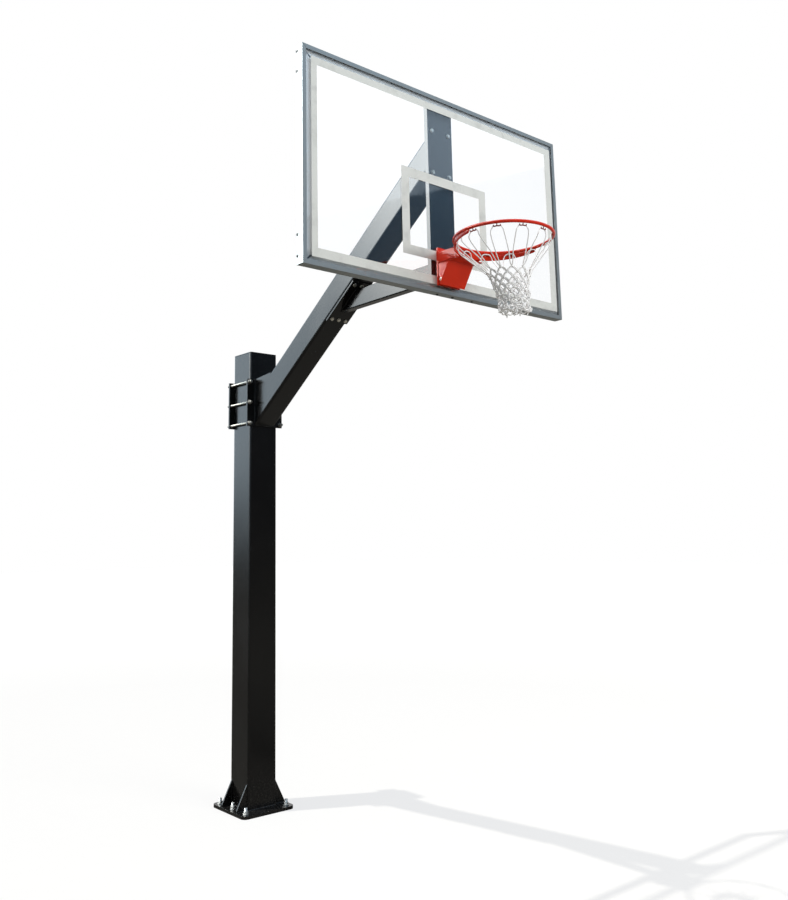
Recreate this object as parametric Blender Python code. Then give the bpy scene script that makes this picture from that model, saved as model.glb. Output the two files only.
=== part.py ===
"""In-ground basketball hoop: square pole on an anchored base plate, clamped extension arm,
brace, framed glass backboard and a spring-loaded breakaway rim with its net.

Metres, +Z up. The origin is the centre of the base plate's underside, on the ground. The pole
stands on the Z axis and the hoop faces -Y.
"""

import math

import bmesh
import bpy
from mathutils import Matrix, Vector

# Clearances
GAP = 0.0003
HOLE_CLEARANCE = 0.0006
WIDE_CLEARANCE = 0.0018
CUT_THROUGH = 4

# Pole and base
POLE_WIDTH = 0.2032
POLE_WALL = 0.0048
POLE_CORNER_RADIUS = 0.0127
POLE_TOP = 2.823
POLE_CAP_THICKNESS = 0.0064
BASE_WIDTH = 0.3683
BASE_THICKNESS = 0.019
BASE_CORNER_RADIUS = 0.032
GUSSET_LENGTH = 0.070
GUSSET_HEIGHT = 0.146
GUSSET_THICKNESS = 0.0095
GUSSET_NOSE = 0.012

# Anchor bolts
ANCHOR_RADIUS = 0.0095
ANCHOR_PITCH = 0.145
ANCHOR_DEPTH = 0.40
ANCHOR_HOOK_LENGTH = 0.075
ANCHOR_BEND_RADIUS = 0.030
ANCHOR_STAND_OUT = 0.036
ANCHOR_NUT_RADIUS = 0.0155
ANCHOR_NUT_HEIGHT = 0.014
ANCHOR_WASHER_RADIUS = 0.0175
ANCHOR_WASHER_THICKNESS = 0.0035

# Clamp that holds the arm to the pole
CLAMP_WIDTH = 0.2667
CLAMP_HEIGHT = 0.3048
CLAMP_THICKNESS = 0.0127
CLAMP_CENTRE_Z = 2.4875
CLAMP_ROD_RADIUS = 0.008
CLAMP_ROD_X = 0.1175
CLAMP_ROD_SPACING = 0.133
CLAMP_ROD_END = 0.026
CLAMP_NUT_RADIUS = 0.0137
CLAMP_NUT_HEIGHT = 0.0135

# Extension arm
OVERHANG = 1.8054
ARM_WIDTH = 0.1524
ARM_WALL = 0.0064
ARM_CORNER_RADIUS = 0.014
ARM_SLOPE = 0.7165
ARM_AXIS_Z_AT_POLE = 2.3524
KNEE_REACH = 0.182
KNEE_WALL = 0.006
END_PLATE_THICKNESS = 0.0095
END_PLATE_HEIGHT = 0.280
ARM_BOLT_X = 0.0595
ARM_BOLT_SPACING = 0.230

# Backboard
BOARD_WIDTH = 1.829
BOARD_HEIGHT = 1.067
BOARD_BOTTOM = 2.841
FRAME_DEPTH = 0.0514
FRAME_WALL = 0.003
FRAME_FRONT_LIP = 0.022
FRAME_REAR_LIP = 0.020
GLASS_RIB = 0.052
GLASS_THICKNESS = 0.0127
GASKET_THICKNESS = 0.006
GASKET_WIDTH = 0.0125

# Spine behind the glass
SPINE_WIDTH = 0.1778
SPINE_WALL = 0.0048
SPINE_FRONT = 0.036
SPINE_DEPTH = 0.0245

# Brace between arm and spine
BRACE_AXIS_Z = 2.975
BRACE_WIDTH = 0.0508
BRACE_HEIGHT = 0.1016
BRACE_WALL = 0.0032
BRACE_CORNER_RADIUS = 0.006
FOOT_THICKNESS = 0.0095
FOOT_LENGTH = 0.310
FOOT_BOLT_SPACING = 0.264
FOOT_BOLT_X = 0.050
BRACE_PLATE_HEIGHT = 0.165

# Bolts through the plates
BOLT_RADIUS = 0.00635
BOLT_HEAD_RADIUS = 0.011
BOLT_HEAD_HEIGHT = 0.008
BOLT_NUT_HEIGHT = 0.0105
BOLT_TIP = 0.004

# Rim
RING_HEIGHT = 3.048
RING_INNER_RADIUS = 0.2286
RING_ROD_RADIUS = 0.008
RING_CLEAR_OF_GLASS = 0.1524
RIM_CENTRE_Z = 2.9765
RIM_PLATE_WIDTH = 0.154
RIM_PLATE_HEIGHT = 0.197
RIM_PLATE_THICKNESS = 0.0095
RIM_BOLT_SPACING_X = 0.1016
RIM_BOLT_SPACING_Z = 0.127
SPACER_WIDTH = 0.132
SPACER_HEIGHT = 0.157
SPACER_BOSS_RADIUS = 0.011
CARRIER_WIDTH = 0.1524
CARRIER_WALL = 0.0055
NECK_BOTTOM = 2.995
NECK_RECESS = 0.0035
CARRIER_WALL_BOTTOM = 2.932
SKIRT_THICKNESS = 0.005
SKIRT_HEIGHT = 0.037
SKIRT_END_HEIGHT = 0.016
HOOK_COUNT = 12
HOOK_TURN = 4.0
HOOK_INSET = 0.0075
HOOK_THICKNESS = 0.004
HOOK_DROP = 0.0105
HOOK_BAR_HEIGHT = 0.004
HOOK_BAR_LENGTH = 0.030
HOOK_STEM_WIDTH = 0.005

# Breakaway mechanism
PIVOT_DISTANCE = 0.026
PIVOT_Z = 2.905
PIN_RADIUS = 0.00635
PIN_HEAD_RADIUS = 0.0092
PIN_HEAD_LENGTH = 0.0035
LUG_RADIUS = 0.0125
EAR_THICKNESS = 0.006
COVER_WIDTH = 0.178
COVER_SHEET = 0.0025
COVER_TOP = 2.9865
COVER_NOSE_DISTANCE = 0.160
COVER_BEND_DISTANCE = 0.094
COVER_BOTTOM_DISTANCE = 0.0265
COVER_BOTTOM_Z = 2.876
COVER_REAR_DISTANCE = 0.0128
CHEEK_ARC_START = 290
CHEEK_ARC_END = 350
ROD_SLOT_WIDTH = 0.0125
ROD_SLOT_HEIGHT = 0.0200
SPRING_AXIS_Z = 2.955
SPRING_COIL_RADIUS = 0.0120
SPRING_WIRE_RADIUS = 0.0016
SPRING_TURNS = 5
SPRING_POINTS_PER_TURN = 10
SPRING_LENGTH = 0.041
SPRING_ROD_RADIUS = 0.0048
SPRING_ROD_TIP = 0.002
SPRING_WASHER_RADIUS = 0.0140
SPRING_WASHER_THICKNESS = 0.0025
SPRING_NUT_RADIUS = 0.0085
SPRING_NUT_HEIGHT = 0.0065

# Net
NET_CORD = 0.0056
NET_LOOP_HALF_WIDTH = 0.0158
NET_FIRST_KNOT_Z = 2.868
NET_BOTTOM_Z = 2.652
NET_ROWS = 8
NET_LEG_STEPS = 3
NET_KNOT_RADIUS = 0.104
NET_WAIST_RADIUS = 0.074
NET_HEM_RADIUS = 0.082
NET_WAIST_Z = 2.745
NET_LEAN_X = 0.032
NET_LEAN_Y = -0.026
NET_SHOULDER_CURVE = 1.6
NET_HEM_CURVE = 1.5
NET_LEG_SAG = 1.5

# Facet counts
ROUND_SIDES = 12
CORNER_STEPS = 4
RING_STEPS = 60
SMOOTH_ANGLE = 35
RING_ROD_SIDES = 8
SKIRT_STEPS = 36

# Places worked out from the sizes above
BOARD_FRONT_Y = -OVERHANG
BOARD_TOP = BOARD_BOTTOM + BOARD_HEIGHT
POLE_HALF = POLE_WIDTH / 2
CLAMP_INNER_Y = POLE_HALF + GAP
CLAMP_OUTER_Y = CLAMP_INNER_Y + CLAMP_THICKNESS
ARM_COS = 1 / math.hypot(1, ARM_SLOPE)
ARM_SIN = ARM_SLOPE * ARM_COS
ARM_PLUMB = ARM_WIDTH / ARM_COS
GLASS_FRONT = FRAME_WALL + 0.0005
GLASS_BACK = GLASS_FRONT + GLASS_THICKNESS
SPINE_WEB_BACK = SPINE_FRONT + SPINE_WALL
END_PLATE_BACK = SPINE_WEB_BACK + GAP + END_PLATE_THICKNESS
RIM_PLATE_BACK = GLASS_FRONT - GAP
RIM_PLATE_FRONT = RIM_PLATE_BACK - RIM_PLATE_THICKNESS
RING_RADIUS = RING_INNER_RADIUS + RING_ROD_RADIUS
RING_Z = RING_HEIGHT - RING_ROD_RADIUS
RING_CENTRE = GLASS_FRONT - RING_CLEAR_OF_GLASS - RING_INNER_RADIUS
PIVOT = -PIVOT_DISTANCE
CARRIER_BACK = RIM_PLATE_FRONT - GAP


def behind_board(distance):
    """World Y of a point this far behind the board's front face."""
    return BOARD_FRONT_Y + distance


def arm_axis_z(y):
    """Height of the arm's centre line at world Y."""
    return ARM_AXIS_Z_AT_POLE - ARM_SLOPE * y


def clear_scene():
    for item in list(bpy.data.objects):
        bpy.data.objects.remove(item, do_unlink=True)


def make_material(name, colour, roughness, metallic, alpha=1.0):
    material = bpy.data.materials.new(name)
    material.use_nodes = True
    shader = material.node_tree.nodes["Principled BSDF"]
    shader.inputs["Base Color"].default_value = (*colour, 1.0)
    shader.inputs["Roughness"].default_value = roughness
    shader.inputs["Metallic"].default_value = metallic
    shader.inputs["Alpha"].default_value = alpha
    return material


def add_object(name, shape, material, smooth=False):
    """Turn a bmesh into a named object and link it to the scene."""
    bmesh.ops.recalc_face_normals(shape, faces=shape.faces)
    mesh = bpy.data.meshes.new(name)
    shape.to_mesh(mesh)
    shape.free()
    if smooth:
        mesh.shade_smooth()
        mesh.set_sharp_from_angle(angle=math.radians(SMOOTH_ANGLE))
    mesh.materials.append(material)
    item = bpy.data.objects.new(name, mesh)
    bpy.context.scene.collection.objects.link(item)
    return item


def add_cutter(name, shape):
    item = add_object(name, shape, CUTTER_MATERIAL)
    item.hide_render = True
    item.display_type = "WIRE"
    return item


def boolean(target, tool, operation):
    modifier = target.modifiers.new(tool.name, "BOOLEAN")
    modifier.operation = operation
    modifier.object = tool
    modifier.solver = "EXACT"


def place_on_axis(axis, u, v, t):
    if axis == "X":
        return (t, u, v)
    if axis == "Y":
        return (u, t, v)
    return (u, v, t)


def add_prism(shape, outline, axis, start, end):
    """Closed prism: a flat outline in the other two axes, from start to end along one axis."""
    low = [shape.verts.new(place_on_axis(axis, u, v, start)) for u, v in outline]
    high = [shape.verts.new(place_on_axis(axis, u, v, end)) for u, v in outline]
    shape.faces.new(low)
    shape.faces.new(high)
    for here in range(len(outline)):
        after = (here + 1) % len(outline)
        shape.faces.new((low[here], low[after], high[after], high[here]))


def prism(outline, axis, start, end):
    shape = bmesh.new()
    add_prism(shape, outline, axis, start, end)
    return shape


def ring_prism(outer, inner, place_start, place_end):
    """Closed tube between two placed copies of an outer and an inner outline."""
    shape = bmesh.new()
    loops = []
    corners = ((outer, place_start), (outer, place_end), (inner, place_end), (inner, place_start))
    for outline, place in corners:
        loops.append([shape.verts.new(place(u, v)) for u, v in outline])
    for index, loop in enumerate(loops):
        other = loops[(index + 1) % len(loops)]
        for here in range(len(loop)):
            after = (here + 1) % len(loop)
            shape.faces.new((loop[here], loop[after], other[after], other[here]))
    return shape


def rectangle(width, height, centre=(0.0, 0.0)):
    u, v = centre
    left = u - width / 2
    right = u + width / 2
    low = v - height / 2
    high = v + height / 2
    return [(left, low), (right, low), (right, high), (left, high)]


def arc(centre, radius, start_degrees, end_degrees, steps):
    points = []
    for step in range(steps + 1):
        angle = math.radians(start_degrees + (end_degrees - start_degrees) * step / steps)
        points.append((centre[0] + radius * math.cos(angle), centre[1] + radius * math.sin(angle)))
    return points


def rounded_rectangle(width, height, radius):
    points = []
    corners = ((1, 1, 0), (-1, 1, 90), (-1, -1, 180), (1, -1, 270))
    for side_u, side_v, start in corners:
        centre = (side_u * (width / 2 - radius), side_v * (height / 2 - radius))
        points += arc(centre, radius, start, start + 90, CORNER_STEPS)
    return points


def circle(radius, sides, centre=(0.0, 0.0)):
    return arc(centre, radius, 0, 360 - 360 / sides, sides - 1)


def hexagon(radius):
    """Hexagon as twelve points, corners and mid-sides, to pair with a twelve-point circle."""
    points = []
    for index in range(ROUND_SIDES):
        reach = radius if index % 2 == 0 else radius * math.cos(math.pi / 6)
        angle = 2 * math.pi * index / ROUND_SIDES
        points.append((reach * math.cos(angle), reach * math.sin(angle)))
    return points


def loft(loops):
    """Closed body through a row of loops that have the same number of points."""
    shape = bmesh.new()
    rows = [[shape.verts.new(point) for point in loop] for loop in loops]
    shape.faces.new(rows[0])
    shape.faces.new(rows[-1])
    count = len(rows[0])
    for low, high in zip(rows, rows[1:]):
        for here in range(count):
            after = (here + 1) % count
            shape.faces.new((low[here], low[after], high[after], high[here]))
    return shape


def section_loops(sections, origin, direction):
    """Loops of a turned or hexagonal rod: (distance, radius, is_hexagon) along a direction."""
    turn = Vector((0, 0, 1)).rotation_difference(Vector(direction)).to_matrix().to_4x4()
    placed = Matrix.Translation(origin) @ turn
    loops = []
    for distance, radius, is_hexagon in sections:
        outline = hexagon(radius) if is_hexagon else circle(radius, ROUND_SIDES)
        loops.append([placed @ Vector((u, v, distance)) for u, v in outline])
    return loops


def stepped_rod(sections, origin, direction):
    return loft(section_loops(sections, origin, direction))


def drill(target, name, places, direction, bore, length):
    """Cut round holes through a plate, centred on each place, a clearance wider than the bore."""
    radius = bore + HOLE_CLEARANCE
    shape = bmesh.new()
    for place in places:
        start = Vector(place) - Vector(direction) * length / 2
        hole = stepped_rod([(0, radius, False), (length, radius, False)], start, direction)
        mesh = bpy.data.meshes.new(name)
        hole.to_mesh(mesh)
        hole.free()
        shape.from_mesh(mesh)
        bpy.data.meshes.remove(mesh)
    boolean(target, add_cutter(name, shape), "DIFFERENCE")


def bolt_sections(grip):
    """Bolt with its nut, gripping plates of this total thickness; the head starts at zero."""
    under_head = BOLT_HEAD_HEIGHT
    nut_start = under_head + grip + GAP
    nut_end = nut_start + BOLT_NUT_HEIGHT
    return [
        (0, BOLT_HEAD_RADIUS, True),
        (under_head, BOLT_HEAD_RADIUS, True),
        (under_head, BOLT_RADIUS, False),
        (nut_start, BOLT_RADIUS, False),
        (nut_start, BOLT_HEAD_RADIUS, True),
        (nut_end, BOLT_HEAD_RADIUS, True),
        (nut_end, BOLT_RADIUS, False),
        (nut_end + BOLT_TIP, BOLT_RADIUS, False),
    ]


def build_base():
    outline = rounded_rectangle(BASE_WIDTH, BASE_WIDTH, BASE_CORNER_RADIUS)
    plate = add_object("base_plate", prism(outline, "Z", 0, BASE_THICKNESS), BLACK_COAT)
    drill(plate, "anchor_holes", anchor_places(), (0, 0, 1), ANCHOR_RADIUS, CUT_THROUGH * BASE_THICKNESS)
    for side_x in (-1, 1):
        for side_y in (-1, 1):
            build_gusset(side_x, side_y)
    for number, place in enumerate(anchor_places(), 1):
        build_anchor(number, place)


def anchor_places():
    places = []
    for side_x in (-1, 1):
        for step_y in (-1, 0, 1):
            places.append((side_x * ANCHOR_PITCH, step_y * ANCHOR_PITCH, BASE_THICKNESS / 2))
    return places


def build_gusset(side_x, side_y):
    inner = POLE_HALF + GAP
    outer = inner + GUSSET_LENGTH
    low = BASE_THICKNESS + GAP
    high = low + GUSSET_HEIGHT
    outline = [(inner, low), (outer, low), (outer, low + GUSSET_NOSE), (inner, high)]
    outline = [(side_x * u, v) for u, v in outline]
    flush_y = side_y * (POLE_HALF - POLE_CORNER_RADIUS)
    name = "base_gusset_" + ("left" if side_x < 0 else "right") + ("_front" if side_y < 0 else "_rear")
    add_object(name, prism(outline, "Y", flush_y - side_y * GUSSET_THICKNESS, flush_y), BLACK_COAT)


def build_anchor(number, place):
    """Hooked anchor rod cast into the ground, with its washer and nut on the plate."""
    washer_low = BASE_THICKNESS + GAP
    nut_low = washer_low + ANCHOR_WASHER_THICKNESS
    nut_high = nut_low + ANCHOR_NUT_HEIGHT
    top = BASE_THICKNESS + ANCHOR_STAND_OUT
    bend_top = ANCHOR_BEND_RADIUS - ANCHOR_DEPTH
    sections = [
        (bend_top, ANCHOR_RADIUS, False),
        (washer_low, ANCHOR_RADIUS, False),
        (washer_low, ANCHOR_WASHER_RADIUS, False),
        (nut_low, ANCHOR_WASHER_RADIUS, False),
        (nut_low, ANCHOR_NUT_RADIUS, True),
        (nut_high, ANCHOR_NUT_RADIUS, True),
        (nut_high, ANCHOR_RADIUS, False),
        (top, ANCHOR_RADIUS, False),
    ]
    straight = section_loops(sections, (place[0], place[1], 0), (0, 0, 1))
    inward = -1 if place[0] > 0 else 1
    centre = Vector((place[0] + inward * ANCHOR_BEND_RADIUS, place[1], bend_top))
    bend = []
    for step in range(1, CORNER_STEPS + 1):
        turn = Matrix.Rotation(-inward * math.pi / 2 * step / CORNER_STEPS, 3, "Y")
        bend.append([centre + turn @ (point - centre) for point in straight[0]])
    hook = [point + Vector((inward * ANCHOR_HOOK_LENGTH, 0, 0)) for point in bend[-1]]
    add_object("anchor_bolt_%d" % number, loft([hook] + bend[::-1] + straight), GALVANISED, smooth=True)


def build_pole():
    outer = rounded_rectangle(POLE_WIDTH, POLE_WIDTH, POLE_CORNER_RADIUS)
    bore = POLE_WIDTH - 2 * POLE_WALL
    inner = rounded_rectangle(bore, bore, POLE_CORNER_RADIUS - POLE_WALL)
    low = BASE_THICKNESS + GAP
    high = POLE_TOP - POLE_CAP_THICKNESS - GAP
    tube = ring_prism(outer, inner, lambda u, v: (u, v, low), lambda u, v: (u, v, high))
    add_object("pole_tube", tube, BLACK_COAT, smooth=True)
    cap = prism(outer, "Z", POLE_TOP - POLE_CAP_THICKNESS, POLE_TOP)
    add_object("pole_cap", cap, BLACK_COAT, smooth=True)


def clamp_rod_places():
    places = []
    for side_x in (-1, 1):
        for step_z in (-1, 0, 1):
            places.append((side_x * CLAMP_ROD_X, CLAMP_CENTRE_Z + step_z * CLAMP_ROD_SPACING))
    return places


def build_clamp():
    outline = rectangle(CLAMP_WIDTH, CLAMP_HEIGHT, (0, CLAMP_CENTRE_Z))
    spans = {
        "clamp_plate_front": (-CLAMP_OUTER_Y, -CLAMP_INNER_Y),
        "clamp_plate_rear": (CLAMP_INNER_Y, CLAMP_OUTER_Y),
    }
    for name, (start, end) in spans.items():
        plate = add_object(name, prism(outline, "Y", start, end), BLACK_COAT)
        holes = [(x, (start + end) / 2, z) for x, z in clamp_rod_places()]
        drill(plate, name + "_holes", holes, (0, 1, 0), CLAMP_ROD_RADIUS, CUT_THROUGH * CLAMP_THICKNESS)
    nut_face = CLAMP_OUTER_Y + GAP
    nut_end = nut_face + CLAMP_NUT_HEIGHT
    tip = CLAMP_OUTER_Y + CLAMP_ROD_END
    sections = [
        (-tip, CLAMP_ROD_RADIUS, False),
        (-nut_end, CLAMP_ROD_RADIUS, False),
        (-nut_end, CLAMP_NUT_RADIUS, True),
        (-nut_face, CLAMP_NUT_RADIUS, True),
        (-nut_face, CLAMP_ROD_RADIUS, False),
        (nut_face, CLAMP_ROD_RADIUS, False),
        (nut_face, CLAMP_NUT_RADIUS, True),
        (nut_end, CLAMP_NUT_RADIUS, True),
        (nut_end, CLAMP_ROD_RADIUS, False),
        (tip, CLAMP_ROD_RADIUS, False),
    ]
    for number, (x, z) in enumerate(clamp_rod_places(), 1):
        rod = stepped_rod(sections, (x, 0, z), (0, 1, 0))
        add_object("clamp_rod_%d" % number, rod, BRIGHT_STEEL, smooth=True)


def foot_middle():
    """Point of the arm's underside on the brace's centre line."""
    y = (ARM_AXIS_Z_AT_POLE - ARM_PLUMB / 2 - BRACE_AXIS_Z) / ARM_SLOPE
    return Vector((0, y, BRACE_AXIS_Z))


def foot_bolt_places():
    """Foot bolt centres on the arm's underside, in two rows of three."""
    along = Vector((0, -ARM_COS, ARM_SIN))
    places = []
    for side in (-1, 1):
        row = foot_middle() + along * side * FOOT_BOLT_SPACING / 2
        for step_x in (-1, 0, 1):
            places.append(row + Vector((step_x * FOOT_BOLT_X, 0, 0)))
    return places


def build_arm():
    """Sloping square tube with plumb-cut ends, its section stretched in Z by the slope."""
    outer = rounded_rectangle(ARM_WIDTH, ARM_WIDTH, ARM_CORNER_RADIUS)
    bore = ARM_WIDTH - 2 * ARM_WALL
    inner = rounded_rectangle(bore, bore, ARM_CORNER_RADIUS - ARM_WALL)
    rear_y = -CLAMP_OUTER_Y - GAP
    front_y = behind_board(END_PLATE_BACK + GAP)
    tube = ring_prism(
        outer,
        inner,
        lambda u, v: (u, rear_y, arm_axis_z(rear_y) + v / ARM_COS),
        lambda u, v: (u, front_y, arm_axis_z(front_y) + v / ARM_COS),
    )
    arm = add_object("extension_arm", tube, BLACK_COAT, smooth=True)
    normal = (0, ARM_SIN, ARM_COS)
    drill(arm, "foot_bolt_holes_in_arm", foot_bolt_places(), normal, BOLT_RADIUS, CUT_THROUGH * ARM_WALL)
    build_knee(rear_y)
    build_end_plate("arm_end_plate", arm_axis_z(front_y), END_PLATE_HEIGHT, arm_bolt_places(front_y))


def arm_bolt_places(front_y):
    centre_z = arm_axis_z(front_y)
    places = []
    for side_x in (-1, 1):
        for side_z in (-1, 1):
            places.append((side_x * ARM_BOLT_X, centre_z + side_z * ARM_BOLT_SPACING / 2))
    return places


def build_knee(rear_y):
    """Folded wedge that fills the angle between the arm's top and the clamp plate."""
    clear = GAP / ARM_COS
    toe_y = rear_y - KNEE_REACH
    top_rear = CLAMP_CENTRE_Z + CLAMP_HEIGHT / 2
    top_front = arm_axis_z(toe_y) + ARM_PLUMB / 2 + clear
    seat_rear = arm_axis_z(rear_y) + ARM_PLUMB / 2 + clear
    outline = [(rear_y, seat_rear), (rear_y, top_rear), (toe_y, top_front)]
    wedge = add_object("arm_knee", prism(outline, "X", -ARM_WIDTH / 2, ARM_WIDTH / 2), BLACK_COAT)
    drop = KNEE_WALL * 2
    core = [
        (rear_y + drop, seat_rear - drop),
        (rear_y + drop, top_rear - KNEE_WALL),
        (toe_y + drop, top_front - drop),
        (toe_y + drop, seat_rear - drop),
    ]
    half = ARM_WIDTH / 2 - KNEE_WALL
    boolean(wedge, add_cutter("knee_core", prism(core, "X", -half, half)), "DIFFERENCE")


def build_end_plate(name, centre_z, height, bolt_places):
    """Plate behind the spine's web, on the end of the arm or the brace."""
    start = behind_board(SPINE_WEB_BACK + GAP)
    end = start + END_PLATE_THICKNESS
    plate = add_object(name, prism(rectangle(ARM_WIDTH, height, (0, centre_z)), "Y", start, end), BLACK_COAT)
    holes = [(x, (start + end) / 2, z) for x, z in bolt_places]
    drill(plate, name + "_holes", holes, (0, 1, 0), BOLT_RADIUS, CUT_THROUGH * END_PLATE_THICKNESS)


def build_spine():
    """Channel with its web towards the glass and a tab inside the top and bottom rails."""
    half = SPINE_WIDTH / 2
    front = behind_board(SPINE_FRONT)
    web_back = behind_board(SPINE_WEB_BACK)
    flange_back = front + SPINE_DEPTH
    inset = FRAME_WALL + GAP
    flange_low = BOARD_BOTTOM + FRAME_REAR_LIP + GAP
    flange_high = BOARD_TOP - FRAME_REAR_LIP - GAP
    channel = [
        (-half, front),
        (half, front),
        (half, flange_back),
        (half - SPINE_WALL, flange_back),
        (half - SPINE_WALL, web_back),
        (-half + SPINE_WALL, web_back),
        (-half + SPINE_WALL, flange_back),
        (-half, flange_back),
    ]
    spine = add_object("spine_channel", prism(channel, "Z", flange_low, flange_high), BLACK_COAT)
    tab_front = behind_board(SPINE_FRONT - SPINE_WALL)
    ends = {
        "spine_tab_bottom": (BOARD_BOTTOM + inset, flange_low + SPINE_WALL, 1),
        "spine_tab_top": (BOARD_TOP - inset, flange_high - SPINE_WALL, -1),
    }
    for name, (outer_z, inner_z, inward) in ends.items():
        fold = outer_z + inward * SPINE_WALL
        profile = [
            (tab_front, outer_z),
            (web_back, outer_z),
            (web_back, inner_z),
            (front + GAP, inner_z),
            (front + GAP, fold),
            (tab_front, fold),
        ]
        tab = add_cutter(name, prism(profile, "X", -half + SPINE_WALL, half - SPINE_WALL))
        boolean(spine, tab, "UNION")
    middle = (front + web_back) / 2
    front_y = behind_board(END_PLATE_BACK + GAP)
    places = arm_bolt_places(front_y) + rim_bolt_places()
    holes = [(x, middle, z) for x, z in places]
    drill(spine, "spine_holes", holes, (0, 1, 0), BOLT_RADIUS, CUT_THROUGH * SPINE_WALL)
    head_y = front - GAP - BOLT_HEAD_HEIGHT
    grip = SPINE_WALL + END_PLATE_THICKNESS + 2 * GAP
    for number, (x, z) in enumerate(arm_bolt_places(front_y), 1):
        bolt = stepped_rod(bolt_sections(grip), (x, head_y, z), (0, 1, 0))
        add_object("arm_bolt_%d" % number, bolt, BRIGHT_STEEL, smooth=True)


def build_brace():
    """Level rectangular tube from the spine to a foot plate bolted under the arm."""
    outer = rounded_rectangle(BRACE_WIDTH, BRACE_HEIGHT, BRACE_CORNER_RADIUS)
    bore_width = BRACE_WIDTH - 2 * BRACE_WALL
    bore_height = BRACE_HEIGHT - 2 * BRACE_WALL
    inner = rounded_rectangle(bore_width, bore_height, BRACE_CORNER_RADIUS - BRACE_WALL)
    front_y = behind_board(END_PLATE_BACK + GAP)
    drop = (FOOT_THICKNESS + 2 * GAP) / ARM_COS

    def rear(u, v):
        z = BRACE_AXIS_Z + v
        return (u, (ARM_AXIS_Z_AT_POLE - ARM_PLUMB / 2 - drop - z) / ARM_SLOPE, z)

    tube = ring_prism(outer, inner, lambda u, v: (u, front_y, BRACE_AXIS_Z + v), rear)
    add_object("brace_tube", tube, BLACK_COAT, smooth=True)
    build_end_plate("brace_end_plate", RIM_CENTRE_Z, BRACE_PLATE_HEIGHT, rim_bolt_places())
    along = Vector((0, -ARM_COS, ARM_SIN))
    normal = Vector((0, ARM_SIN, ARM_COS))
    seat = foot_middle() - normal * GAP
    corners = []
    for side_along, depth in ((-1, 0), (1, 0), (1, -FOOT_THICKNESS), (-1, -FOOT_THICKNESS)):
        corner = seat + along * side_along * FOOT_LENGTH / 2 + normal * depth
        corners.append((corner.y, corner.z))
    foot = add_object("brace_foot_plate", prism(corners, "X", -ARM_WIDTH / 2, ARM_WIDTH / 2), BLACK_COAT)
    drill(foot, "foot_holes", foot_bolt_places(), normal, BOLT_RADIUS, CUT_THROUGH * FOOT_THICKNESS)
    grip = FOOT_THICKNESS + ARM_WALL + 2 * GAP
    for number, place in enumerate(foot_bolt_places(), 1):
        start = place - normal * (2 * GAP + FOOT_THICKNESS + BOLT_HEAD_HEIGHT)
        bolt = stepped_rod(bolt_sections(grip), start, normal)
        add_object("foot_bolt_%d" % number, bolt, BRIGHT_STEEL, smooth=True)


def frame_profile():
    """Rail section as (distance in from the board's edge, distance behind its front face)."""
    rib_front = GLASS_BACK + GASKET_THICKNESS + 2 * GAP
    rib_back = rib_front + FRAME_WALL
    return [
        (0, 0),
        (FRAME_FRONT_LIP, 0),
        (FRAME_FRONT_LIP, FRAME_WALL),
        (FRAME_WALL, FRAME_WALL),
        (FRAME_WALL, rib_front),
        (GLASS_RIB, rib_front),
        (GLASS_RIB, rib_back),
        (FRAME_WALL, rib_back),
        (FRAME_WALL, FRAME_DEPTH - FRAME_WALL),
        (FRAME_REAR_LIP, FRAME_DEPTH - FRAME_WALL),
        (FRAME_REAR_LIP, FRAME_DEPTH),
        (0, FRAME_DEPTH),
    ]


def build_rail(name, corner_start, corner_end):
    """Mitred rail between two corners of the board, as signs of X and of Z."""
    centre_z = (BOARD_BOTTOM + BOARD_TOP) / 2
    shape = bmesh.new()
    loops = []
    level = corner_start[1] == corner_end[1]
    for sign_x, sign_z in (corner_start, corner_end):
        loop = []
        for inset, depth in frame_profile():
            reach_x = BOARD_WIDTH / 2 - inset - (GAP if level else 0)
            reach_z = BOARD_HEIGHT / 2 - inset - (0 if level else GAP)
            place = (sign_x * reach_x, behind_board(depth), centre_z + sign_z * reach_z)
            loop.append(shape.verts.new(place))
        shape.faces.new(loop)
        loops.append(loop)
    count = len(frame_profile())
    for here in range(count):
        after = (here + 1) % count
        shape.faces.new((loops[0][here], loops[0][after], loops[1][after], loops[1][here]))
    add_object(name, shape, ALUMINIUM)


def build_board():
    build_rail("frame_rail_bottom", (-1, -1), (1, -1))
    build_rail("frame_rail_top", (-1, 1), (1, 1))
    build_rail("frame_rail_left", (-1, -1), (-1, 1))
    build_rail("frame_rail_right", (1, -1), (1, 1))
    centre = (0, (BOARD_BOTTOM + BOARD_TOP) / 2)
    edge = FRAME_WALL + 2 * GAP
    glass_width = BOARD_WIDTH - 2 * edge
    glass_height = BOARD_HEIGHT - 2 * edge
    outline = rectangle(glass_width, glass_height, centre)
    front = behind_board(GLASS_FRONT)
    back = behind_board(GLASS_BACK)
    glass = add_object("backboard_glass", prism(outline, "Y", front, back), GLASS)
    holes = [(x, (front + back) / 2, z) for x, z in rim_bolt_places()]
    bore = SPACER_BOSS_RADIUS + WIDE_CLEARANCE
    drill(glass, "glass_holes", holes, (0, 1, 0), bore, CUT_THROUGH * GLASS_THICKNESS)
    inner = rectangle(glass_width - 2 * GASKET_WIDTH, glass_height - 2 * GASKET_WIDTH, centre)
    start = back + GAP
    end = start + GASKET_THICKNESS
    gasket = ring_prism(outline, inner, lambda u, v: (u, start, v), lambda u, v: (u, end, v))
    add_object("glass_gasket", gasket, RUBBER)


def rim_bolt_places():
    places = []
    for side_x in (-1, 1):
        for side_z in (-1, 1):
            places.append((side_x * RIM_BOLT_SPACING_X / 2, RIM_CENTRE_Z + side_z * RIM_BOLT_SPACING_Z / 2))
    return places


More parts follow.
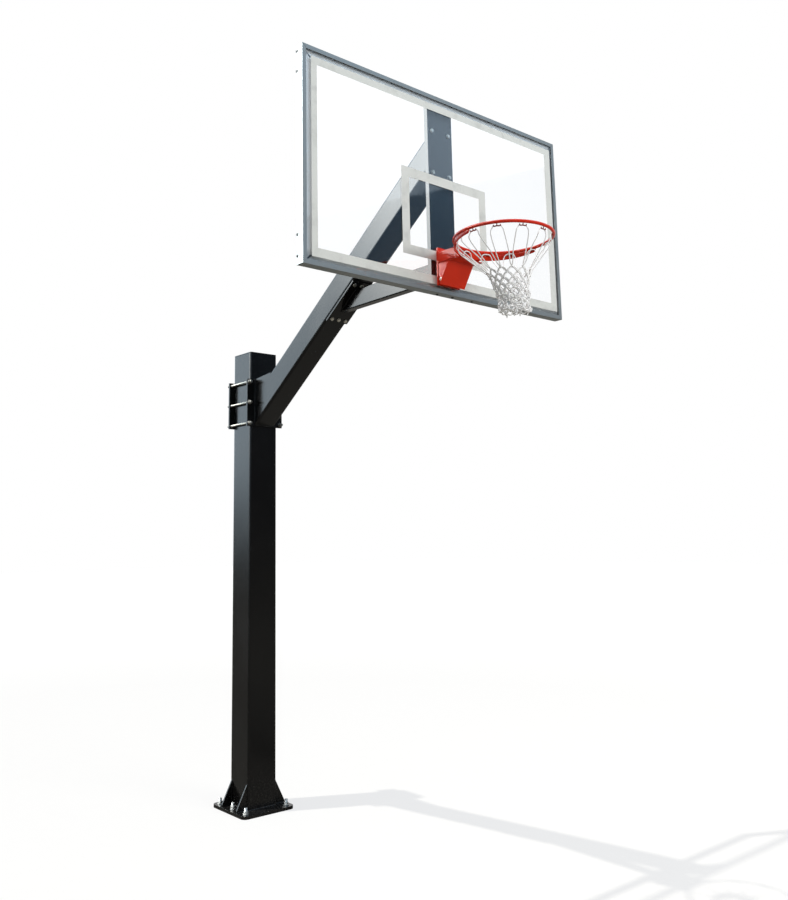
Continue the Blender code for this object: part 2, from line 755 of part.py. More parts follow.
def build_rim_fixing():
    """Plate on the glass with its pivot ears, the spacer behind it and the four bolts."""
    back = behind_board(RIM_PLATE_BACK)
    front = behind_board(RIM_PLATE_FRONT)
    outline = rectangle(RIM_PLATE_WIDTH, RIM_PLATE_HEIGHT, (0, RIM_CENTRE_Z))
    plate = add_object("rim_mount_plate", prism(outline, "Y", front, back), RED_COAT)
    pivot = (behind_board(PIVOT), PIVOT_Z)
    root = front + RIM_PLATE_THICKNESS / 2
    ear = arc(pivot, LUG_RADIUS, 90, 270, 2 * CORNER_STEPS)
    ear += [(root, PIVOT_Z - LUG_RADIUS), (root, PIVOT_Z + LUG_RADIUS)]
    ear_outer = CARRIER_WIDTH / 2 - CARRIER_WALL - 2 * GAP
    for name, side in (("ear_left", -1), ("ear_right", 1)):
        span = sorted((side * ear_outer, side * (ear_outer - EAR_THICKNESS)))
        boolean(plate, add_cutter(name, prism(ear, "X", *span)), "UNION")
    middle = (front + back) / 2
    holes = [(x, middle, z) for x, z in rim_bolt_places()]
    drill(plate, "rim_plate_holes", holes, (0, 1, 0), BOLT_RADIUS, CUT_THROUGH * RIM_PLATE_THICKNESS)
    drill(plate, "ear_bores", [(0, pivot[0], pivot[1])], (1, 0, 0), PIN_RADIUS, 2 * CARRIER_WIDTH)
    build_spacer()
    head_y = front - GAP - BOLT_HEAD_HEIGHT
    grip = END_PLATE_BACK - RIM_PLATE_FRONT + GAP
    for number, (x, z) in enumerate(rim_bolt_places(), 1):
        bolt = stepped_rod(bolt_sections(grip), (x, head_y, z), (0, 1, 0))
        add_object("rim_bolt_%d" % number, bolt, BRIGHT_STEEL, smooth=True)


def build_spacer():
    """Spacer between glass and spine, with four bosses that pass through the glass."""
    block_front = behind_board(GLASS_BACK + GAP)
    block_back = behind_board(SPINE_FRONT - GAP)
    outline = rectangle(SPACER_WIDTH, SPACER_HEIGHT, (0, RIM_CENTRE_Z))
    spacer = add_object("rim_spacer", prism(outline, "Y", block_front, block_back), BLACK_COAT)
    boss_front = behind_board(RIM_PLATE_BACK + GAP)
    for number, (x, z) in enumerate(rim_bolt_places(), 1):
        sections = [(0, SPACER_BOSS_RADIUS, False), (block_back - boss_front, SPACER_BOSS_RADIUS, False)]
        boss = stepped_rod(sections, (x, boss_front, z), (0, 1, 0))
        boolean(spacer, add_cutter("spacer_boss_%d" % number, boss), "UNION")
    middle = (boss_front + block_back) / 2
    holes = [(x, middle, z) for x, z in rim_bolt_places()]
    drill(spacer, "spacer_holes", holes, (0, 1, 0), BOLT_RADIUS, CUT_THROUGH * (block_back - boss_front))


def build_pivot_pin():
    reach = CARRIER_WIDTH / 2 + GAP
    sections = [
        (-reach - PIN_HEAD_LENGTH, PIN_HEAD_RADIUS, False),
        (-reach, PIN_HEAD_RADIUS, False),
        (-reach, PIN_RADIUS, False),
        (reach, PIN_RADIUS, False),
        (reach, PIN_HEAD_RADIUS, False),
        (reach + PIN_HEAD_LENGTH, PIN_HEAD_RADIUS, False),
    ]
    pin = stepped_rod(sections, (0, behind_board(PIVOT), PIVOT_Z), (1, 0, 0))
    add_object("rim_pivot_pin", pin, BRIGHT_STEEL, smooth=True)


def build_carrier():
    """Moving neck: top plate, two sides and the back wall that the spring presses on."""
    half = CARRIER_WIDTH / 2
    back = behind_board(CARRIER_BACK)
    wall_front = back - CARRIER_WALL
    neck_end = behind_board(RING_CENTRE + RING_RADIUS - 2 * RING_ROD_RADIUS)
    lap = CARRIER_WALL / 2
    side = [(back, RING_HEIGHT), (neck_end, RING_HEIGHT), (neck_end, NECK_BOTTOM), (back, NECK_BOTTOM)]
    carrier = add_object("rim_carrier", prism(side, "X", -half, -half + CARRIER_WALL), RED_COAT)
    boolean(carrier, add_cutter("carrier_side", prism(side, "X", half - CARRIER_WALL, half)), "UNION")
    wall = [(back - GAP, CARRIER_WALL_BOTTOM), (back - GAP, RING_HEIGHT - lap)]
    wall += [(wall_front, RING_HEIGHT - lap), (wall_front, CARRIER_WALL_BOTTOM)]
    boolean(carrier, add_cutter("carrier_wall", prism(wall, "X", lap - half, half - lap)), "UNION")
    lid = [(back - 2 * GAP, RING_HEIGHT - GAP), (neck_end - GAP, RING_HEIGHT - GAP)]
    lid += [(neck_end - GAP, RING_HEIGHT - CARRIER_WALL), (back - 2 * GAP, RING_HEIGHT - CARRIER_WALL)]
    boolean(carrier, add_cutter("carrier_lid", prism(lid, "X", lap - half, half - lap)), "UNION")
    foot_low = COVER_TOP + GAP
    foot = [(wall_front + GAP, foot_low), (wall_front + GAP, NECK_BOTTOM + lap)]
    foot += [(neck_end, NECK_BOTTOM + lap), (neck_end, foot_low)]
    for name, turn in (("foot_left", -1), ("foot_right", 1)):
        span = sorted((turn * (half - NECK_RECESS), turn * (half - CARRIER_WALL - GAP)))
        boolean(carrier, add_cutter(name, prism(foot, "X", *span)), "UNION")
    ring_y = behind_board(RING_CENTRE)
    rod_cut = circle(RING_RADIUS + RING_ROD_RADIUS + GAP, RING_STEPS, (0, ring_y))
    low = RING_Z - RING_ROD_RADIUS - GAP
    rod_space = add_cutter("ring_clearance", prism(rod_cut, "Z", low, RING_HEIGHT + RING_ROD_RADIUS))
    boolean(carrier, rod_space, "DIFFERENCE")
    skirt_cut = circle(RING_RADIUS + SKIRT_THICKNESS / 2 + GAP, RING_STEPS, (0, ring_y))
    skirt_space = add_cutter("skirt_clearance", prism(skirt_cut, "Z", COVER_BOTTOM_Z, low + GAP))
    boolean(carrier, skirt_space, "DIFFERENCE")
    heads = [(x, back, z) for x, z in rim_bolt_places()]
    depth = BOLT_HEAD_HEIGHT + WIDE_CLEARANCE
    notch = BOLT_HEAD_RADIUS + WIDE_CLEARANCE - HOLE_CLEARANCE
    drill(carrier, "head_notches", heads, (0, 1, 0), notch, 2 * depth)
    slot = rounded_rectangle(ROD_SLOT_WIDTH, ROD_SLOT_HEIGHT, ROD_SLOT_WIDTH / 2 - GAP)
    slot = [(u, v + SPRING_AXIS_Z) for u, v in slot]
    boolean(carrier, add_cutter("rod_slot", prism(slot, "Y", wall_front - lap, back + lap)), "DIFFERENCE")


def build_cover():
    """Bent sheet under the neck, with two side plates that turn on the pivot pin."""
    step = COVER_SHEET / 5
    half = CARRIER_WIDTH / 2
    nose_y = behind_board(-COVER_NOSE_DISTANCE)
    bend_y = behind_board(-COVER_BEND_DISTANCE)
    bottom_y = behind_board(-COVER_BOTTOM_DISTANCE)
    rear_y = behind_board(-COVER_REAR_DISTANCE)
    under = COVER_TOP - COVER_SHEET
    along = Vector((bottom_y - bend_y, COVER_BOTTOM_Z - COVER_TOP)).normalized()
    inward = Vector((-along.y, along.x))
    inner_bottom = Vector((bottom_y, COVER_BOTTOM_Z)) + inward * COVER_SHEET
    inner_bend_y = inner_bottom.x + (under - inner_bottom.y) * along.x / along.y
    outer_bend_y = bend_y + (under - COVER_TOP) * along.x / along.y
    strip = [(nose_y, COVER_TOP), (inner_bend_y, COVER_TOP), (inner_bend_y, under)]
    strip += [tuple(inner_bottom), (bottom_y, COVER_BOTTOM_Z), (outer_bend_y, under), (nose_y, under)]
    cover = add_object("rim_cover", prism(strip, "X", -COVER_WIDTH / 2, COVER_WIDTH / 2), RED_COAT)
    lid_high = COVER_TOP - step
    lid_low = under + step
    lid = [(rear_y, lid_high), (bend_y, lid_high), (bend_y, lid_low), (rear_y, lid_low)]
    boolean(cover, add_cutter("cover_lid", prism(lid, "X", step - half, half - step)), "UNION")
    middle = Vector((bottom_y, COVER_BOTTOM_Z)) + inward * COVER_SHEET / 2
    cheek_top = COVER_TOP - COVER_SHEET / 2
    cheek = [(rear_y + step, cheek_top)]
    cheek += [(middle.x + (cheek_top - middle.y) * along.x / along.y, cheek_top)]
    cheek += [tuple(middle - along * 2 * step)]
    cheek += arc((behind_board(PIVOT), PIVOT_Z), LUG_RADIUS, CHEEK_ARC_START, CHEEK_ARC_END, CORNER_STEPS)
    for name, turn in (("cheek_left", -1), ("cheek_right", 1)):
        span = sorted((turn * half, turn * (half - CARRIER_WALL)))
        boolean(cover, add_cutter(name, prism(cheek, "X", *span)), "UNION")
    pivot = (0, behind_board(PIVOT), PIVOT_Z)
    drill(cover, "cover_bores", [pivot], (1, 0, 0), PIN_RADIUS, 2 * CARRIER_WIDTH)


def build_spring():
    """Compression spring between the carrier's wall and the washer on its rod."""
    start_y = behind_board(CARRIER_BACK) - CARRIER_WALL - GAP - SPRING_WIRE_RADIUS
    run = SPRING_LENGTH - 2 * SPRING_WIRE_RADIUS
    count = SPRING_TURNS * SPRING_POINTS_PER_TURN
    curve = bpy.data.curves.new("rim_spring", "CURVE")
    curve.dimensions = "3D"
    curve.bevel_depth = SPRING_WIRE_RADIUS
    curve.bevel_resolution = 1
    curve.use_fill_caps = True
    line = curve.splines.new("POLY")
    line.points.add(count)
    for index, point in enumerate(line.points):
        angle = 2 * math.pi * index / SPRING_POINTS_PER_TURN
        x = SPRING_COIL_RADIUS * math.cos(angle)
        z = SPRING_AXIS_Z + SPRING_COIL_RADIUS * math.sin(angle)
        point.co = (x, start_y - run * index / count, z, 1)
    curve.materials.append(SPRING_STEEL)
    item = bpy.data.objects.new("rim_spring", curve)
    bpy.context.scene.collection.objects.link(item)
    pitch = run / SPRING_TURNS
    print("rim_spring least gap between turns, mm:", round((pitch - 2 * SPRING_WIRE_RADIUS) * 1000, 2))


def build_spring_rod():
    seat = -RIM_PLATE_FRONT + GAP
    washer = -CARRIER_BACK + CARRIER_WALL + SPRING_LENGTH + 2 * GAP
    nut = washer + SPRING_WASHER_THICKNESS
    tip = nut + SPRING_NUT_HEIGHT + SPRING_ROD_TIP
    sections = [
        (seat, SPRING_ROD_RADIUS, False),
        (washer, SPRING_ROD_RADIUS, False),
        (washer, SPRING_WASHER_RADIUS, False),
        (nut, SPRING_WASHER_RADIUS, False),
        (nut, SPRING_NUT_RADIUS, True),
        (nut + SPRING_NUT_HEIGHT, SPRING_NUT_RADIUS, True),
        (nut + SPRING_NUT_HEIGHT, SPRING_ROD_RADIUS, False),
        (tip, SPRING_ROD_RADIUS, False),
    ]
    rod = stepped_rod(sections, (0, behind_board(0), SPRING_AXIS_Z), (0, -1, 0))
    add_object("rim_spring_rod", rod, BRIGHT_STEEL, smooth=True)


def ring_frame(degrees):
    """Origin on the ring's centre line, with radial and tangential directions."""
    angle = math.radians(degrees)
    radial = Vector((math.cos(angle), math.sin(angle), 0))
    tangent = Vector((-math.sin(angle), math.cos(angle), 0))
    centre = Vector((0, behind_board(RING_CENTRE), 0))
    return centre, radial, tangent


def hook_angles():
    return [HOOK_TURN + index * 360 / HOOK_COUNT for index in range(HOOK_COUNT)]


def build_ring():
    shape = bmesh.new()
    loops = []
    for step in range(RING_STEPS):
        centre, radial, tangent = ring_frame(360 * step / RING_STEPS)
        loop = []
        for side in range(RING_ROD_SIDES):
            angle = 2 * math.pi * (side + 0.5) / RING_ROD_SIDES
            reach = RING_RADIUS + RING_ROD_RADIUS * math.cos(angle)
            place = centre + radial * reach
            loop.append(shape.verts.new((place.x, place.y, RING_Z + RING_ROD_RADIUS * math.sin(angle))))
        loops.append(loop)
    for index, loop in enumerate(loops):
        other = loops[(index + 1) % len(loops)]
        for here in range(RING_ROD_SIDES):
            after = (here + 1) % RING_ROD_SIDES
            shape.faces.new((loop[here], loop[after], other[after], other[here]))
    ring = add_object("rim_ring", shape, RED_COAT, smooth=True)
    boolean(ring, add_cutter("net_hooks", hook_shape()), "UNION")


def hook_shape():
    """Twelve T-shaped hooks under the ring, each one closed prism."""
    stem = HOOK_STEM_WIDTH / 2
    bar = HOOK_BAR_LENGTH / 2
    low = RING_Z - RING_ROD_RADIUS - HOOK_DROP - HOOK_BAR_HEIGHT
    shelf = low + HOOK_BAR_HEIGHT
    right_side = [(bar, low), (bar, shelf), (stem, shelf), (stem, RING_Z)]
    outline = right_side + [(-u, v) for u, v in reversed(right_side)]
    shape = bmesh.new()
    for degrees in hook_angles():
        centre, radial, tangent = ring_frame(degrees)
        loops = []
        for side in (-1, 1):
            base = centre + radial * (RING_RADIUS - HOOK_INSET - side * HOOK_THICKNESS / 2)
            loops.append([shape.verts.new(base + tangent * u + Vector((0, 0, v))) for u, v in outline])
        shape.faces.new(loops[0])
        shape.faces.new(loops[1])
        for here in range(len(outline)):
            after = (here + 1) % len(outline)
            shape.faces.new((loops[0][here], loops[0][after], loops[1][after], loops[1][here]))
    return shape


def build_skirt():
    """Curved strip under the rear half of the ring, deepest at the bracket."""
    loops = []
    top = RING_Z - RING_ROD_RADIUS - GAP
    for step in range(SKIRT_STEPS + 1):
        share = step / SKIRT_STEPS
        centre, radial, tangent = ring_frame(180 * share)
        depth = SKIRT_END_HEIGHT + (SKIRT_HEIGHT - SKIRT_END_HEIGHT) * math.sin(math.pi * share)
        loop = []
        for side, drop in ((-1, 0), (1, 0), (1, depth), (-1, depth)):
            place = centre + radial * (RING_RADIUS + side * SKIRT_THICKNESS / 2)
            loop.append((place.x, place.y, top - drop))
        loops.append(loop)
    add_object("rim_skirt", loft(loops), RED_COAT, smooth=True)


def net_radius(z):
    """Radius of the net's body, eased from the first knots to the waist and out to the hem."""
    if z > NET_WAIST_Z:
        share = (z - NET_WAIST_Z) / (NET_FIRST_KNOT_Z - NET_WAIST_Z)
        return NET_WAIST_RADIUS + (NET_KNOT_RADIUS - NET_WAIST_RADIUS) * share ** NET_SHOULDER_CURVE
    share = (NET_WAIST_Z - z) / (NET_WAIST_Z - NET_BOTTOM_Z)
    return NET_WAIST_RADIUS + (NET_HEM_RADIUS - NET_WAIST_RADIUS) * share ** NET_HEM_CURVE


def net_point(degrees, radius, z):
    """Point on the net, leaning to one side as it hangs."""
    centre, radial, tangent = ring_frame(degrees)
    share = (RING_Z - z) / (RING_Z - NET_BOTTOM_Z)
    lean = Vector((NET_LEAN_X, NET_LEAN_Y, 0)) * share
    place = centre + radial * radius + lean
    return Vector((place.x, place.y, z))


def build_net():
    """Looped top and diamond mesh, drawn as a surface of cells and thickened to cords."""
    shape = bmesh.new()
    pitch = 360 / HOOK_COUNT
    loop_radius = RING_RADIUS - HOOK_INSET - HOOK_THICKNESS / 2 - NET_CORD / 2 - 2 * GAP
    loop_z = RING_Z - RING_ROD_RADIUS - HOOK_DROP + NET_CORD / 2
    half_turn = math.degrees(NET_LOOP_HALF_WIDTH / loop_radius)
    rows = []
    for row in range(NET_ROWS):
        z = NET_FIRST_KNOT_Z + (NET_BOTTOM_Z - NET_FIRST_KNOT_Z) * row / (NET_ROWS - 1)
        offset = pitch / 2 if row % 2 == 0 else 0
        rows.append([shape.verts.new(net_point(a + offset, net_radius(z), z)) for a in hook_angles()])
    left_legs = []
    right_legs = []
    for index, degrees in enumerate(hook_angles()):
        for side, legs in ((-1, left_legs), (1, right_legs)):
            top = net_point(degrees + side * half_turn, loop_radius, loop_z)
            knot_degrees = degrees + side * pitch / 2
            knot = net_point(knot_degrees, net_radius(NET_FIRST_KNOT_Z), NET_FIRST_KNOT_Z)
            leg = [shape.verts.new(top)]
            for step in range(1, NET_LEG_STEPS):
                share = step / NET_LEG_STEPS
                straight = top.lerp(knot, share)
                sag = math.sin(math.pi * share) * NET_CORD * NET_LEG_SAG
                leg.append(shape.verts.new(straight - Vector((0, 0, sag))))
            legs.append(leg)
    for index in range(HOOK_COUNT):
        before = (index - 1) % HOOK_COUNT
        cell = left_legs[index][::-1] + right_legs[index] + [rows[0][index], rows[1][index], rows[0][before]]
        shape.faces.new(cell)
    for row in range(NET_ROWS - 2):
        for index in range(HOOK_COUNT):
            if row % 2 == 0:
                sides = (rows[row + 1][index], rows[row + 1][(index + 1) % HOOK_COUNT])
            else:
                sides = (rows[row + 1][(index - 1) % HOOK_COUNT], rows[row + 1][index])
            shape.faces.new((rows[row][index], sides[0], rows[row + 2][index], sides[1]))
    net = add_object("net", shape, NET_WHITE)
    cords = net.modifiers.new("cords", "WIREFRAME")
    cords.thickness = NET_CORD
    cords.use_even_offset = False
    cords.use_boundary = True
    cords.use_replace = True


clear_scene()
BLACK_COAT = make_material("black_coat", (0.012, 0.012, 0.014), 0.35, 0.0)
RED_COAT = make_material("red_coat", (0.50, 0.028, 0.010), 0.35, 0.0)
ALUMINIUM = make_material("aluminium", (0.30, 0.33, 0.36), 0.45, 1.0)
GLASS = make_material("glass", (0.90, 0.95, 0.94), 0.03, 0.0, alpha=0.3)
RUBBER = make_material("rubber", (0.02, 0.02, 0.02), 0.8, 0.0)
BRIGHT_STEEL = make_material("bright_steel", (0.62, 0.61, 0.58), 0.32, 1.0)
GALVANISED = make_material("galvanised", (0.48, 0.48, 0.46), 0.5, 1.0)
SPRING_STEEL = make_material("spring_steel", (0.16, 0.16, 0.17), 0.4, 1.0)
NET_WHITE = make_material("net_white", (0.78, 0.78, 0.76), 0.9, 0.0)
CUTTER_MATERIAL = make_material("cutter", (0.5, 0.5, 0.5), 0.5, 0.0)

build_base()
build_pole()
build_clamp()
build_arm()
build_brace()
build_board()
build_spine()
build_rim_fixing()
build_pivot_pin()
build_carrier()
build_cover()
build_spring_rod()
build_spring()
build_ring()
build_skirt()
build_net()
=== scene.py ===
"""In-ground basketball hoop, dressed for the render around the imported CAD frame.

Metres, +Z up, hoop facing -Y, ground at z = 0.
"""
import math
import random

import bmesh
import bpy
from mathutils import Matrix, Vector


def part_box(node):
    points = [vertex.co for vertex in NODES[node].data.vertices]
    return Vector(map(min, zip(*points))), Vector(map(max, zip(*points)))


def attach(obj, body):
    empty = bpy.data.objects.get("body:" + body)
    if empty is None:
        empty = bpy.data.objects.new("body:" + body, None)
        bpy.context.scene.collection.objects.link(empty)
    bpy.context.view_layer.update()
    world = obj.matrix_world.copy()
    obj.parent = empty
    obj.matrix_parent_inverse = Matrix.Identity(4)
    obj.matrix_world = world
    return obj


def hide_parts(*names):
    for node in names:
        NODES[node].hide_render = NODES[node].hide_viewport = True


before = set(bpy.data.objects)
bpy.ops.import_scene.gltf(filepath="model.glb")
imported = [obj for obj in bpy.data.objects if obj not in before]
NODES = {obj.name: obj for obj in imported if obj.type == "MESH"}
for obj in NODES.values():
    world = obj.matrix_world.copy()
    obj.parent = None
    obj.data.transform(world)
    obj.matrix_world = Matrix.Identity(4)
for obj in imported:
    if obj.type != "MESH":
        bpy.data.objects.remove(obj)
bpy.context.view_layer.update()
STAND = "stand"
RIM = "rim"
UP = Vector((0, 0, 1))
NET_SEED = 7
DICE = random.Random(NET_SEED)

# Camera fitted to the photograph; its turns are azimuth, pitch and roll
CAMERA_PLACE = (-3.1693, -4.914, 1.636)
CAMERA_TURNS = (-38.787, 9.444, -0.702)
CAMERA_LENS = 35.689
CAMERA_SENSOR = 36.0
CAMERA_SHIFT = (0.0520, -0.0697)

# Lamps
SUN_PLACE = (-3.0, 1.5, 10.0)
SUN_POWER = 2.6
SUN_ANGLE = 0.9
SOFTBOX_PLACE = (2.4, -10.2, 4.0)
SOFTBOX_TARGET = (0.0, -1.8, 3.2)
SOFTBOX_SIZE = (6.0, 3.0)
SOFTBOX_POWER = 520.0

# Surround: plain light, the backdrop, and what gloss mirrors in front and at the left
ROOM_LIGHT = (0.40, 0.42, 0.45)
BACKDROP = (1.0, 1.0, 1.0)
BACKDROP_THROUGH_GLASS = (1.07, 1.07, 1.07)
FRONT_BEGINS = (0.02, -0.22)
FRONT_TONES = (0.10, 0.10, 0.11), (0.19, 0.34, 0.52)
FRONT_TONE_HEIGHTS = (0.10, 0.36)
FRONT_HIGH = (1.05, 1.36, 1.68)
FRONT_LINE_SLOPE = 0.222
FRONT_LINE_HEIGHTS = (0.2225, 0.2255)
GLOW_SIDE = (-0.60, 0.80, 0.0)
GLOW_SPREAD = (0.45, 0.80)
GLOW_LOW_TONES = (0.10, 0.10, 0.09), (2.9, 3.5, 3.95)
GLOW_LOW_HEIGHTS = (-0.02, 0.08)
GLOW_HIGH = (21.0, 21.5, 21.0)
GLOW_HIGH_HEIGHTS = (0.27, 0.42)
GLOW_SLANT = 1.6
GLOW_SLANT_START = 0.60
GLOW_SLANT_END = -0.70
ONE_BOUNCE = 0.5

# Floor
FLOOR_REACH = 40.0
FLOOR_TONES = (0.232, 0.220, 0.194), (0.240, 0.228, 0.200)
FLOOR_GLOW = (0.985, 1.0, 1.03)
FLOOR_GLOW_NEAR = 0.705
FLOOR_GLOW_FAR = 0.795
FLOOR_NEAR = 5.0
FLOOR_FAR = 14.0

# Colours; each pair is mixed by the material's own pattern
BLACK_TONES = (0.0026, 0.0026, 0.0028), (0.0042, 0.0041, 0.0040)
BLACK_RUBBED = (0.06, 0.056, 0.052)
RED_TONES = (0.66, 0.026, 0.004), (0.56, 0.020, 0.004)
RED_RUBBED = (0.40, 0.10, 0.06)
# Hook wire: the red coat darkened as painted shade for the ring's shadow on the hooks, rubbed edges
# included
SHADED_WIRE_TONES = (0.22, 0.012, 0.006), (0.16, 0.010, 0.006)
SHADED_WIRE_RUBBED = (0.20, 0.08, 0.06)
COAT_DUST = (0.34, 0.31, 0.27)
ANODISED_TONES = (0.245, 0.265, 0.268), (0.285, 0.300, 0.295)
# Ledge behind the glass: the darker tone is painted shade along the bottom rail, the pale tone is painted
# light in place of the light the lip blocks
LEDGE_LIGHT_AND_SHADE_TONES = (0.34, 0.35, 0.34), (0.76, 0.76, 0.74)
FRAME_RUBBED = (0.62, 0.64, 0.66)
FRAME_DUST = (0.40, 0.37, 0.32)
GLASS_TONES = (0.998, 1.0, 0.999), (0.985, 0.992, 0.99)
PRINT_TONES = (0.66, 0.67, 0.63), (0.71, 0.72, 0.68)
PRINT_SCUFF = (0.52, 0.53, 0.50)
RUBBER_TONES = (0.27, 0.27, 0.265), (0.34, 0.34, 0.33)
ZINC_TONES = (0.60, 0.58, 0.52), (0.42, 0.40, 0.35)
ROD_TONES = (0.31, 0.30, 0.27), (0.21, 0.20, 0.17)
NUT_TONES = (0.22, 0.21, 0.19), (0.14, 0.13, 0.12)
GALVANISED_TONES = (0.52, 0.52, 0.50), (0.36, 0.35, 0.33)
SPRING_TONES = (0.20, 0.20, 0.21), (0.10, 0.10, 0.10)
CORD_TONES = (0.86, 0.86, 0.855), (0.95, 0.95, 0.945)
CORD_GRIME = (0.60, 0.58, 0.54)

# Places read from the frame
RAIL_LOW, RAIL_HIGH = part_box("frame_rail_bottom")
FRAME_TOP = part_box("frame_rail_top")[1].z
FRAME_BOTTOM = RAIL_LOW.z
FRAME_HALF = RAIL_HIGH.x
FRAME_FRONT = RAIL_LOW.y
GLASS_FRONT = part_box("backboard_glass")[0].y
LEDGE_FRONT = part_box("glass_gasket")[1].y
PLATE_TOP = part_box("base_plate")[1].z
POLE_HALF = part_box("pole_tube")[1].x
CLAMP_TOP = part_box("clamp_plate_front")[1].z
RING_LOW, RING_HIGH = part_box("rim_ring")
RING_CENTRE = Vector((0, (RING_LOW.y + RING_HIGH.y) / 2, 0))
RING_BAR = 0.008
RING_RADIUS = (RING_HIGH.x - RING_LOW.x) / 2 - RING_BAR
RING_Z = RING_HIGH.z - RING_BAR

# Ledge behind the glass
LEDGE_INSET = 0.052
LEDGE_WIDENING = 0.018
LEDGE_TOLERANCE = 0.001
LEDGE_MASK_NEAR = 0.0008
LEDGE_MASK_FAR = 0.0012
LEDGE_MASK_START = 0.0004
# Heights over the bottom rail where the ledge's painted shade turns into its painted light
LEDGE_LOW_START = 0.04
LEDGE_LOW_END = 0.08

# Rounded edges of the dressed plates, rails and sheet parts
PLATE_EDGES = {
    "base_plate": 0.0015,
    "pole_cap": 0.0012,
    "clamp_plate_front": 0.0015,
    "clamp_plate_rear": 0.0015,
    "arm_knee": 0.0010,
    "arm_end_plate": 0.0012,
    "spine_channel": 0.0010,
    "brace_foot_plate": 0.0012,
    "brace_end_plate": 0.0012,
    "rim_spacer": 0.0008,
    "base_gusset_left_front": 0.0012,
    "base_gusset_left_rear": 0.0012,
    "base_gusset_right_front": 0.0012,
    "base_gusset_right_rear": 0.0012,
}
RAIL_EDGE = 0.0006
MOUNT_PLATE_EDGE = 0.0010
CARRIER_EDGE = 0.0009
COVER_EDGE = 0.0006
MERGE_DISTANCE = 0.00002
FLAT_ANGLE = 0.5
SHARP_ANGLE = 30
ROUNDED_TURN = math.cos(math.radians(50))

# Print on the glass
PRINT_THICKNESS = 0.0002
BORDER_OUTER_LEFT = 0.052
BORDER_OUTER_RIGHT = 0.036
BORDER_OUTER_TOP = 0.048
BORDER_OUTER_BOTTOM = 0.042
BORDER_INNER_INSET = 0.086
TARGET_WIDTH = 0.6096
TARGET_HEIGHT = 0.4572
TARGET_LINE = 0.0508
TARGET_BOTTOM = 3.007

# Fasteners; nuts, washers and end threads are (start, end, radius) along their rod, and screws are
# (distance, radius, corner count) sections of a lathe
HEX = 6
BOLT_GROUPS = (("arm_bolt_", 4), ("foot_bolt_", 6), ("rim_bolt_", 4))
ROD_NUMBERS = range(1, 7)
BOLT_FACE = (0.0, 0.0060, 0)
BOLT_HEAD_START = 0.0002
BOLT_HEAD_END = 0.0062
BOLT_HEAD_RADIUS = 0.0108
BOLT_WASHER_RADIUS = 0.0118
BOLT_WASHER_THICKNESS = 0.0018
BOLT_SHANK_START = 0.0080
BOLT_SHANK_RADIUS = 0.00635
BOLT_THREAD_RADIUS = 0.0062
BOLT_NUT_SIDE = 0.0145
BOLT_TIP = 0.0040
CLAMP_THREAD = (0.0, 0.0560, 0.0080)
CLAMP_NUT = (0.0122, 0.0235, 0.0136)
CLAMP_WASHER = (0.0235, 0.0257, 0.0150)
ANCHOR_RADIUS = 0.0093
ANCHOR_INSET = 0.0175
ANCHOR_AXIS_LIFT = 0.0095
ANCHOR_BEND = 0.030
ANCHOR_BEND_MIDDLE = 0.0088
ANCHOR_END_TRIM = 0.001
ANCHOR_WASHER = (0.0, 0.0035, 0.0175)
ANCHOR_NUT_TOP = 0.0172
ANCHOR_NUT = (0.0035, ANCHOR_NUT_TOP, 0.0154)
ANCHOR_THREAD_RADIUS = 0.0094
ANCHOR_LIFT = 0.0002
SIDE_SCREW = (
    (0, 0.0075, 0), (0.0012, 0.0074, 0), (0.0024, 0.0060, 0),
    (0.0030, 0.0040, 0), (0.0030, 0.0024, HEX), (0.0008, 0.0022, HEX),
)
SIDE_SCREW_DEPTH = 0.044
SIDE_SCREWS_BELOW_TOP = (0.027, 0.129)
SIDE_SCREWS_ABOVE_BOTTOM = (0.143, 0.041)
RAIL_SCREW = (
    (0, 0.0072, 0), (0.0016, 0.0072, 0), (0.0036, 0.0058, 0),
    (0.0044, 0.0036, 0), (0.0044, 0.0024, HEX), (0.0020, 0.0022, HEX),
)
RAIL_SCREW_DEPTH = 0.030
RAIL_SCREW_X = (-0.053, 0.056, 0.199)

# Slope of the arm, and welds
ARM_SLOPE = 0.7165
ARM_COS = 1 / math.hypot(1, ARM_SLOPE)
ARM_SIN = ARM_SLOPE * ARM_COS
ARM_CORNER = 0.014
POLE_CORNER = 0.0127
BRACE_CORNER = 0.006
POLE_WELD = 0.0042
ARM_WELD = 0.0036
BRACE_REAR_WELD = 0.0032
BRACE_FRONT_WELD = 0.0030
PLATE_WELD = 0.0034
NECK_WELD = 0.0026
SKIRT_WELD = 0.0020
WELD_LIFT = 0.001
WELD_SINK = 0.0008
WELD_END = 0.004
GUSSET_WELD_TOP = 0.010
GUSSET_WELD_CORNER = 0.003
KNEE_WELD_LENGTH = 0.20
SEAM_PROUD = 0.0003
SEAM_THICKNESS = 0.0100
SEAM_ABOVE = 0.006
SEAM_BELOW = 0.016
NECK_WELD_ANGLES = range(73, 108, 2)
NECK_WELD_RADIUS = RING_RADIUS + RING_BAR * 0.72
NECK_WELD_HEIGHTS = (RING_Z + RING_BAR * 0.66, RING_Z - RING_BAR * 0.80)
SKIRT_WELD_ANGLES = range(12, 180, 26)
SKIRT_WELD_HALF_ANGLE = 3
SKIRT_WELD_RADIUS = RING_RADIUS + 0.0030
SKIRT_WELD_Z = RING_Z - RING_BAR * 0.92

